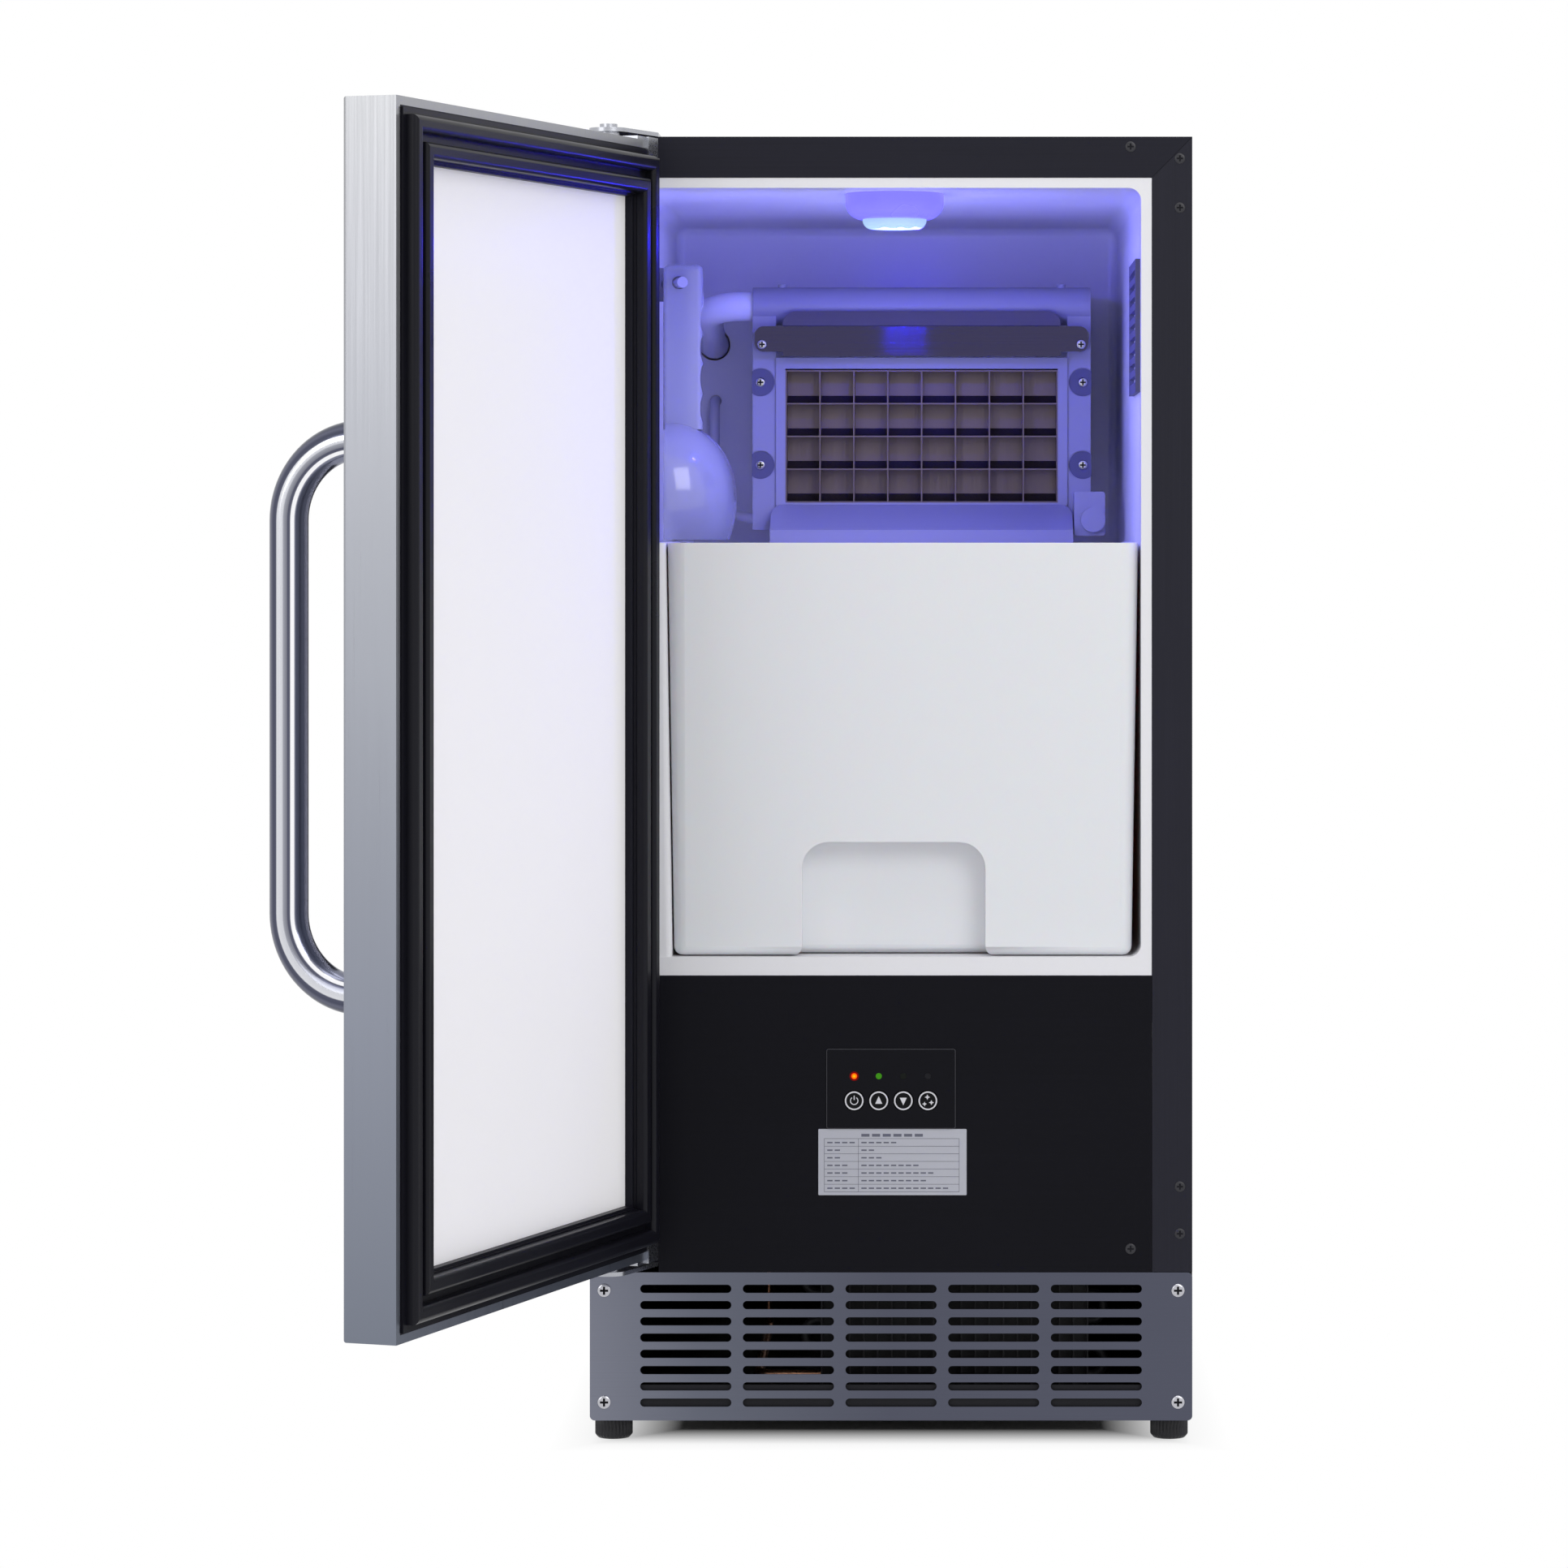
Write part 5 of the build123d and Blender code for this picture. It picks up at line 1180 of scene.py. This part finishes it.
@dataclass
class Dressing:
    """The frame nodes that keep their own shape, under the finish that they wear."""

    worn_by: tuple[tuple[str, tuple[str, ...]], ...] = (
        ("black_coat", ("cabinet_wrapper", "rear_access_panel", "base_tray")),
        ("galvanised", ("rear_panel",)),
        ("black_trim", ("top_trim", "left_trim")),
        ("black_trim_right_painted_lighter", ("right_trim",)),
        ("black_fascia", ("lower_fascia",)),
        ("grille_brushed", ("kick_grille",)),
        ("liner_white", ("cavity_liner",)),
        ("foam", ("foam_insulation",)),
        ("overlay_black", ("control_overlay",)),
        ("control_case", ("control_box",)),
        ("lamp_body", ("lamp_housing",)),
        ("shaded_plastic", ("side_vent",)),
        ("evaporator_plastic_painted_shade", ("evaporator_frame", "distributor_tube", "water_trough", "sensor_box",
                          "scoop_hook")),
        ("tinned_copper", ("evaporator_grid",)),
        ("copper", ("evaporator_coil", "filter_drier", "refrigerant_pipes")),
        ("shield_steel", ("splash_shield",)),
        ("hose_white", ("water_hoses",)),
        ("dark_plastic", ("pump_motor", "fan_shroud", "fan_motor", "fan_blades", "power_inlet")),
        ("compressor_black", ("compressor",)),
        ("black_rubber", ("compressor_grommets",)),
        ("fin_black", ("condenser",)),
        ("valve_plastic", ("water_inlet_valve",)),
        ("white_plastic", ("drain_spigot",)),
        ("zinc", ("hinge_plates", "hinge_pins", "hinge_blocks")),
        ("door_steel", ("door_frame",)),
        ("inner_frame", ("door_inner_frame",)),
        ("gasket_black", ("door_gasket",)),
        ("pane", ("glass_outer",)),
        ("inner_pane_painted_glow", ("glass_inner",)),
        ("fin_aluminium", ("glass_spacer",)),
        ("bin_plastic", ("ice_bin",)),
        ("scoop_plastic", ("ice_scoop",)),
        ("button_grey", ("button_1", "button_2", "button_3", "button_4")),
    )

    def build(self, shop: Shop) -> None:
        """Dresses every listed node.

        Args:
            shop: The shop.
        """
        for finish, nodes in self.worn_by:
            for node in nodes:
                shop.dress(node, finish)


@dataclass
class CavityLight:
    """The lamp in the ceiling of the cavity: its glowing lens and the lights that stand for its light."""

    beam: Colour = (0.22, 0.21, 1.0)
    beam_power: float = 0.22
    beam_size: float = 0.036
    beam_drop: float = 1.0 * MM
    soft: Colour = (0.42, 0.42, 1.0)
    soft_power: float = 0.08
    soft_size: float = 0.05
    soft_depth: float = 0.35
    soft_drop: float = 60.0 * MM
    veil: Colour = (0.33, 0.35, 1.0)
    veil_power: float = 0.46
    veil_size: Pair = (0.2, 0.13)
    veil_inset: float = 4.0 * MM
    veil_drop: float = 112.0 * MM
    spark: Colour = (0.03, 0.02, 1.0)
    spark_power: float = 0.26
    spark_size: float = 1.5 * MM
    spark_drop: float = 3.0 * MM
    spark_shift: float = 4.0 * MM
    sparks: tuple[float, ...] = (-10.3 * MM, 0.0, 10.3 * MM)

    def build(self, shop: Shop) -> None:
        """Lights the lens and hangs the lights below it.

        Args:
            shop: The shop.
        """
        low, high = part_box("lamp_lens")
        middle = (low + high) / 2
        shop.palette.add(Lit("lens_lit", (0.2, 0.25, 0.3), 0.3, centre=tuple(middle),
                             reach=(high.x - low.x) / 2, glow=(0.55, 0.86, 1.0), strength=1.5))
        shop.dress("lamp_lens", "lens_lit")
        self.hang("cavity_beam", "AREA", self.beam, self.beam_power, self.beam_size,
                  (middle.x, middle.y, low.z - self.beam_drop))
        front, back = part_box("cavity_liner")
        self.hang("cavity_glow", "POINT", self.soft, self.soft_power, self.soft_size,
                  (middle.x, (front.y + back.y) * self.soft_depth, low.z - self.soft_drop))
        veil = self.hang("cavity_veil", "AREA", self.veil, self.veil_power, self.veil_size[0],
                         ((front.x + back.x) / 2, front.y + self.veil_inset, low.z - self.veil_drop))
        veil.data.shape, veil.data.size_y = "RECTANGLE", self.veil_size[1]
        veil.rotation_euler = (math.radians(90.0), 0.0, 0.0)
        for number, offset in enumerate(self.sparks, 1):
            self.hang(f"lamp_spark_{number}", "POINT", self.spark, self.spark_power, self.spark_size,
                      (middle.x + self.spark_shift + offset, middle.y, low.z - self.spark_drop), True)

    def hang(self, name: str, kind: str, colour: Colour, power: float, size: float, place: Point,
             mirrored: bool = False) -> bpy.types.Object:
        """Hangs one light that neither the camera nor a pane sees.

        Args:
            name: The light's name.
            kind: AREA for a disk that shines down, or POINT.
            colour: Its colour.
            power: Its power in watts.
            size: A disk's diameter or a point's radius, in metres.
            place: Where it hangs.
            mirrored: Whether polished surfaces mirror it.

        Returns:
            The light's object.
        """
        light = bpy.data.lights.new(name, kind)
        light.color, light.energy = colour, power
        if kind == "AREA":
            light.shape, light.size = "DISK", size
        else:
            light.shadow_soft_size = size
        made = stood(name, light)
        made.location = place
        made.visible_camera = False
        made.visible_glossy = mirrored
        made.visible_transmission = False
        LOG.info("hung %s", name)
        return made


@dataclass
class DoorHandle:
    """The polished rail of the door, its reflections painted into its colour as bands."""

    tube_r: float = 11.0 * MM
    bend_r: float = 45.5 * MM
    outward: Point = (-0.943, 0.333, 0.0)
    # painted reflections on the rail: bright and dark bands by how far the surface faces away from the rail's
    # line
    painted_reflection_bands: Stops = (
        (-1.0, (0.16, 0.17, 0.23)), (-0.78, (0.2, 0.21, 0.28)), (-0.52, (0.19, 0.2, 0.27)),
        (-0.47, (0.95, 0.95, 0.97)), (-0.3, (0.93, 0.93, 0.96)), (-0.255, (0.1, 0.105, 0.15)),
        (-0.14, (0.09, 0.095, 0.14)), (-0.1, (0.2, 0.205, 0.25)), (0.08, (0.34, 0.35, 0.4)),
        (0.14, (0.62, 0.63, 0.68)), (0.42, (0.7, 0.71, 0.75)), (0.47, (0.09, 0.095, 0.14)),
        (0.62, (0.075, 0.08, 0.12)), (0.74, (0.13, 0.135, 0.19)), (0.86, (0.07, 0.075, 0.11)),
        (1.0, (0.06, 0.065, 0.1)))

    def build(self, shop: Shop) -> None:
        """Finishes the handle.

        Args:
            shop: The shop.
        """
        low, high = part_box("door_handle")
        axis = Vector((low.x + self.tube_r, high.y - self.tube_r, 0.0))
        inner = axis - Vector(self.outward) * self.bend_r
        bottom = (inner.x, inner.y, low.z + self.tube_r + self.bend_r)
        top = (inner.x, inner.y, high.z - self.tube_r - self.bend_r)
        shop.palette.add(PaintedReflectionRail("handle_steel", (0.5, 0.5, 0.5), 0.16, 0.08, 0.03,
                                      constants(Metallic=1.0), low=bottom, high=top, painted_reflection_bands=self.painted_reflection_bands))
        shop.dress("door_handle", "handle_steel")


@dataclass
class ControlPanel:
    """The indicator lights, the print on the buttons and the reference card.

    Sizes of a button's print are shares of its radius. The power bar's half width and corner are shares
    of the stroke. Places along the card are shares of its width.
    """

    symbols: tuple[Symbol, ...] = (Symbol.POWER, Symbol.MORE, Symbol.LESS, Symbol.CLEAN)
    print_height: float = 0.05 * MM
    halo: Pair = (1.95 * MM, 2.9 * MM)
    halo_sides: int = 32
    rim: float = 0.35 * MM
    rim_corner: float = 1.35 * MM
    ring: Pair = (0.79, 0.93)
    ring_sides: int = 40
    stroke: float = 0.07
    power_ring: Pair = (0.33, 0.42)
    power_turn: Pair = (125.0, 415.0)
    power_steps: int = 24
    power_bar: tuple[float, float, float, float] = (0.7, 0.22, 0.6, 0.3)
    arrow: tuple[Pair, ...] = ((0.0, 0.46), (0.35, -0.3), (-0.35, -0.3))
    stars: tuple[Point, ...] = ((-0.05, 0.36, 0.27), (-0.33, -0.32, 0.24), (0.35, -0.18, 0.26))
    star_waist: float = 0.45
    card_over: Pair = (5.1 * MM, 6.9 * MM)
    card_height: float = 41.5 * MM
    card_thick: float = 0.15 * MM
    card_corner: float = 0.6 * MM
    card_gap: float = 0.3 * MM
    rule_half: float = 0.12 * MM
    table: tuple[float, float, float, float] = (0.04, 0.95, 0.05, 0.855)
    split: float = 0.27
    entries: tuple[Pair, ...] = (
        (0.2, 0.29), (0.13, 0.15), (0.15, 0.19), (0.17, 0.42), (0.18, 0.54), (0.19, 0.45), (0.2, 0.62))
    entry_starts: Pair = (0.06, 0.29)
    bar_step: float = 0.05
    bar_length: float = 0.036
    bar_z: Pair = (-0.55 * MM, 0.35 * MM)
    title_count: int = 6
    title_start: float = 0.29
    title_step: float = 0.072
    title_length: float = 0.055
    title_z: Pair = (1.2 * MM, 3.0 * MM)

    def build(self, shop: Shop) -> None:
        """Makes the lights, the print and the card.

        Args:
            shop: The shop.
        """
        self.lights(shop)
        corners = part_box("control_overlay")
        half_x, half_z = (corners[1].x - corners[0].x) / 2, (corners[1].z - corners[0].z) / 2
        rim = bmesh.new()
        band(rim, rounded(half_x - self.rim, half_z - self.rim, self.rim_corner - self.rim),
             rounded(half_x, half_z, self.rim_corner), self.print_height, on_face(corners))
        shop.piece("overlay_rim", rim, "edge_grey", "cabinet")
        for number, symbol in enumerate(self.symbols, 1):
            self.button_print(shop, number, symbol)
        self.card(shop)

    def lights(self, shop: Shop) -> None:
        """Lights the row of indicators and puts a glowing red ring round the first: painted glow of its light
        on the overlay.

        Args:
            shop: The shop.
        """
        xs = [sum(corner.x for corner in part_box(f"button_{n}")) / 2 for n in range(1, 5)]
        height = sum(corner.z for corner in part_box("indicator_lights")) / 2
        shop.palette.add(LampRow(
            "indicators", (0.3, 0.3, 0.3), 0.3, sockets=gloss(0.08), middle=(xs[0], 0.0, height),
            bounds=tuple((a + b) / 2 for a, b in zip(xs, xs[1:])), glows=(0.7, 0.0, 0.0),
            core=((0.0, (1.0, 0.7, 0.01)), (1.0 * MM, (1.0, 0.3, 0.0)), (1.9 * MM, (0.8, 0.01, 0.0))),
            colours=((0.25, 0.01, 0.0), (0.03, 0.17, 0.005), (0.008, 0.01, 0.008), (0.014, 0.014, 0.017))))
        shop.dress("indicator_lights", "indicators")
        halo = bmesh.new()
        placed = facing_front(xs[0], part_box("control_overlay")[0].y, height)
        band(halo, *(ring(radius, self.halo_sides) for radius in self.halo), self.print_height, placed)
        shop.piece("lamp_painted_glow_halo", halo, "halo_painted_glow", "cabinet")

    def card(self, shop: Shop) -> None:
        """Sticks a plain ruled reference card under the panel, with bars where its entries are.

        Args:
            shop: The shop.
        """
        low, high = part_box("control_overlay")
        left, right = low.x - self.card_over[0], high.x + self.card_over[1]
        width, tall = right - left, self.card_height
        placed = facing_front(left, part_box("lower_fascia")[0].y, low.z - self.card_gap - tall)
        card, lines, bars = bmesh.new(), bmesh.new(), bmesh.new()
        outline = rounded(width / 2, tall / 2, self.card_corner, (width / 2, tall / 2))
        prism(card, outline, 0.0, self.card_thick, placed)
        shop.piece("reference_card", card, "card_grey", "cabinet")
        thin, top = self.rule_half, self.card_thick + self.print_height
        x0, x1, z0, z1 = (part * size for part, size in zip(self.table, (width, width, tall, tall)))
        rows = len(self.entries)
        step = (z1 - z0) / rows

        def bar(mesh: Mesh, xa: float, xb: float, za: float, zb: float) -> None:
            """Prints a bar from corner to corner."""
            prism(mesh, [(xa, za), (xb, za), (xb, zb), (xa, zb)], self.card_thick, top, placed)

        for k in range(rows + 1):
            bar(lines, x0, x1, z0 + k * step - thin, z0 + k * step + thin)
        for x in (x0, self.split * width, x1):
            bar(lines, x - thin, x + thin, z0, z1)
        shop.piece("card_rules", lines, "card_line", "cabinet")
        for row, spans in enumerate(self.entries):
            middle = z1 - (row + 0.5) * step
            for start, span in zip(self.entry_starts, spans):
                for k in range(int(span / self.bar_step)):
                    x = (start + k * self.bar_step) * width
                    bar(bars, x, x + self.bar_length * width, middle + self.bar_z[0], middle + self.bar_z[1])
        for k in range(self.title_count):
            x = (self.title_start + k * self.title_step) * width
            bar(bars, x, x + self.title_length * width, z1 + self.title_z[0], z1 + self.title_z[1])
        shop.piece("card_bars", bars, "card_print", "cabinet")

    def button_print(self, shop: Shop, number: int, symbol: Symbol) -> None:
        """Prints a ring and a symbol on a button.

        Args:
            shop: The shop.
            number: The button's number.
            symbol: Its symbol.
        """
        low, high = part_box(f"button_{number}")
        placed = on_face((low, high))
        radius, top = (high.x - low.x) / 2, self.print_height
        mesh = bmesh.new()
        band(mesh, *(ring(radius * share, self.ring_sides) for share in self.ring), top, placed)
        if symbol is Symbol.POWER:
            arcs = [arc(radius * share, *self.power_turn, self.power_steps) for share in self.power_ring]
            band(mesh, *arcs, top, placed, closed=False)
            stroke = radius * self.stroke
            wide, tall, corner, height = self.power_bar
            outline = rounded(stroke * wide, radius * tall, stroke * corner, (0.0, radius * height))
            prism(mesh, outline, 0.0, top, placed)
        elif symbol in (Symbol.MORE, Symbol.LESS):
            sign = 1 if symbol is Symbol.MORE else -1
            prism(mesh, [(radius * x, sign * radius * y) for x, y in self.arrow][::sign], 0.0, top, placed)
        else:
            for x, y, size in self.stars:
                prism(mesh, self.star(radius, x, y, size), 0.0, top, placed)
        shop.piece(f"button_print_{number}", mesh, "print_white", f"button_{number}_body")

    def star(self, radius: float, x: float, y: float, size: float) -> list[Pair]:
        """Gives the outline of a star with four points.

        Args:
            radius: The button's radius.
            x: The star's middle along X, as a share of the radius.
            y: Its middle's height, as a share of the radius.
            size: How far its points reach, as a share of the radius.

        Returns:
            The outline's points, in order.
        """
        points = []
        for k in range(8):
            reach, turn = size * (self.star_waist if k % 2 else 1.0), math.radians(45 * k)
            points.append((radius * (x + reach * math.cos(turn)), radius * (y + reach * math.sin(turn))))
        return points


@dataclass
class Fasteners:
    """The screws of the cabinet: domed heads with a cross recess, in the places of the frame's own.

    Heads are a node, its finish and the height of a head. Profiles are shares of a head's size.
    """

    heads: tuple[tuple[str, str, float], ...] = (("black_screws", "black_screw", 0.6 * MM),
                                                 ("steel_screws", "bright_screw", 1.3 * MM))
    profile: tuple[Pair, ...] = ((1.0, 0.0), (1.0, 0.3), (0.95, 0.62), (0.84, 0.86), (0.68, 1.0))
    mouth: float = 0.6
    recess_floor: Pair = (0.42, 0.3)
    recess_tip: float = 0.2
    sides: int = 48
    arm_angle: float = math.radians(15.0)
    shank: Pair = (1.6 * MM, 5.0 * MM)
    shank_taper: float = 0.8
    shank_sides: int = 12
    seat: tuple[float, float, float] = (9.5 * MM, 5.8 * MM, 0.2 * MM)

    def cross(self, length: float, height: float) -> list[Point]:
        """Gives the outline of the recess at one height.

        Args:
            length: How far the arms reach.
            height: The height of the ring.

        Returns:
            As many points as a head's rings have.
        """
        points = []
        for k in range(self.sides):
            angle = 2 * math.pi * k / self.sides
            folded = abs((angle + math.pi / 4) % (math.pi / 2) - math.pi / 4)
            if folded <= self.arm_angle + TINY:
                reach = length / math.cos(folded)
            else:
                reach = length * math.tan(self.arm_angle) / math.sin(folded)
            points.append((reach * math.cos(angle), reach * math.sin(angle), height))
        return points

    def head(self, metal: Mesh, recess: Mesh, radius: float, height: float, placed: Matrix) -> None:
        """Adds one screw.

        Args:
            metal: The mesh of the heads and shanks.
            recess: The mesh of the recesses.
            radius: The head's radius.
            height: The head's height.
            placed: Where the underside of the head's middle goes.
        """
        rings = [circle(radius * r, height * h, self.sides) for r, h in self.profile]
        mouth = self.cross(radius * self.mouth, height)
        floor = self.cross(radius * self.recess_floor[0], height * self.recess_floor[1])
        stacked(metal, [*rings, mouth], placed)
        stacked(recess, [[(0.0, 0.0, height * self.recess_tip)], floor, mouth], placed)
        thick, length = self.shank
        outline = [(0.0, -length), (thick, -length * self.shank_taper), (thick, 0.0)]
        turned(metal, outline, self.shank_sides, placed)

    def build(self, shop: Shop) -> None:
        """Makes every screw of both nodes.

        Args:
            shop: The shop.
        """
        for node, finish, height in self.heads:
            metal, recess = bmesh.new(), bmesh.new()
            for low, high in islands(shop.frame["nodes"][node]):
                self.head(metal, recess, (high.x - low.x) / 2, height, on_face((low, high), height))
            made = shop.piece(f"{node}_heads", metal, finish, "cabinet")
            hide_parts(node)
            # the recesses wear a dark finish: painted shade
            shop.piece(f"{node}_recesses", recess, "recess_painted_shade", "cabinet")
        self.painted_shade_seats(shop)

    def painted_shade_seats(self, shop: Shop) -> None:
        """Puts a thin dark disc behind each screw of the evaporator's surround: painted shade of the shallow
        seat that the screw sits in.

        Args:
            shop: The shop.
        """
        surround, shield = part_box("evaporator_frame"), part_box("splash_shield")
        radius, side, thick = self.seat
        middle = (surround[0].x + surround[1].x) / 2
        mesh = bmesh.new()
        for low, high in islands(shop.frame["nodes"]["steel_screws"]):
            if surround[0].z < low.z and high.z < shield[0].z:
                sign = -1 if (low.x + high.x) / 2 < middle else 1
                outline = [(sign * min(side, sign * a), b) for a, b in ring(radius, self.sides)]
                prism(mesh, outline, 0.0, thick, on_face((low, high), self.heads[1][2]))
        shop.piece("surround_painted_shade_discs", mesh, "seat_painted_shade", "cabinet")


@dataclass
class BinShell:
    """The ice bin, with its lower edges rounded as moulding leaves them."""

    radius: float = 5.5 * MM
    steps: int = 5
    flat_from: float = 0.002
    level: float = 0.1 * MM
    coplanar: float = math.radians(0.5)
    sharp: float = 1.0

    def build(self, shop: Shop) -> None:
        """Rounds the edges round the bin's underside. Its large faces stay flat.

        Args:
            shop: The shop.
        """
        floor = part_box("ice_bin")[0].z
        mesh = bmesh.new()
        mesh.from_mesh(shop.frame["nodes"]["ice_bin"].data)
        bmesh.ops.remove_doubles(mesh, verts=mesh.verts[:], dist=TINY)
        bmesh.ops.dissolve_limit(mesh, angle_limit=self.coplanar, verts=mesh.verts[:], edges=mesh.edges[:])
        under = [edge for edge in mesh.edges if edge.calc_face_angle(0.0) > self.sharp
                 and all(abs(vert.co.z - floor) < self.level for vert in edge.verts)]
        bmesh.ops.bevel(mesh, geom=under, offset=self.radius, offset_type="OFFSET", segments=self.steps,
                        profile=0.5, affect="EDGES", clamp_overlap=False)
        made = shop.piece("bin_shell", mesh, "bin_plastic", "bin", smooth=35.0)
        for polygon in made.data.polygons:
            polygon.use_smooth = polygon.area < self.flat_from
        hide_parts("ice_bin")


@dataclass
class Feet:
    """The levelling feet: ribbed knobs on studs.

    A ring of the knob is its share of the radius, of the knob's height and of the ribs' depth.
    """

    ribs: int = 30
    rib_depth: float = 0.07
    knob: tuple[Point, ...] = ((0.84, 0.0, 0.0), (0.93, 0.08, 0.3), (1.0, 0.16, 1.0), (1.0, 0.5, 1.0),
                               (1.0, 0.84, 1.0), (0.93, 0.94, 0.3), (0.84, 1.0, 0.0))
    stud_r: float = 5.0 * MM
    stud_tip: float = 0.8
    chamfer: float = 1.0 * MM
    clear: float = 1.0 * MM

    def ribbed(self, radius: float, height: float, depth: float) -> list[Point]:
        """Gives a ring whose radius waves from rib to rib.

        Args:
            radius: The radius at a rib's top.
            height: The ring's height.
            depth: How deep the ribs are, as a share of the radius.

        Returns:
            The points, four to a rib.
        """
        sides = self.ribs * 4
        points = []
        for k in range(sides):
            angle = 2 * math.pi * k / sides
            reach = radius * (1.0 - depth * (0.5 - 0.5 * math.cos(self.ribs * angle)))
            points.append((reach * math.cos(angle), reach * math.sin(angle), height))
        return points

    def build(self, shop: Shop) -> None:
        """Makes the four feet.

        Args:
            shop: The shop.
        """
        for number in range(1, 5):
            node = f"foot_{number}"
            low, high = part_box(node)
            radius, top = (high.x - low.x) / 2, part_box("base_tray")[0].z - self.clear
            placed = Matrix.Translation(((low.x + high.x) / 2, (low.y + high.y) / 2, low.z))
            stud = ((self.stud_r, top), (self.stud_r, high.z - self.chamfer),
                    (self.stud_r * self.stud_tip, high.z), (0.0, high.z))
            rings = [circle(0.0, 0.0, self.ribs * 4)]
            for wide, tall, deep in self.knob:
                rings.append(self.ribbed(radius * wide, top * tall, self.rib_depth * deep))
            rings += [circle(wide, tall, self.ribs * 4) for wide, tall in stud]
            mesh = bmesh.new()
            stacked(mesh, rings, placed)
            made = shop.piece(f"ribbed_{node}", mesh, "foot_black", f"{node}_body",
                              smooth=50.0)
            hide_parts(node)


def clear_scene() -> None:
    """Removes whatever the scene starts with."""
    for thing in list(bpy.data.objects):
        bpy.data.objects.remove(thing)


def main() -> None:
    """Builds the looks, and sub-assembly by sub-assembly."""
    logging.basicConfig(level=logging.INFO, format="%(name)s %(message)s")
    clear_scene()
    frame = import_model()
    shop = Shop(frame, Palette(Effects()))
    Studio().build()
    Dressing().build(shop)
    CavityLight().build(shop)
    DoorHandle().build(shop)
    ControlPanel().build(shop)
    Fasteners().build(shop)
    Feet().build(shop)
    BinShell().build(shop)


if __name__ == "__main__":
    main()
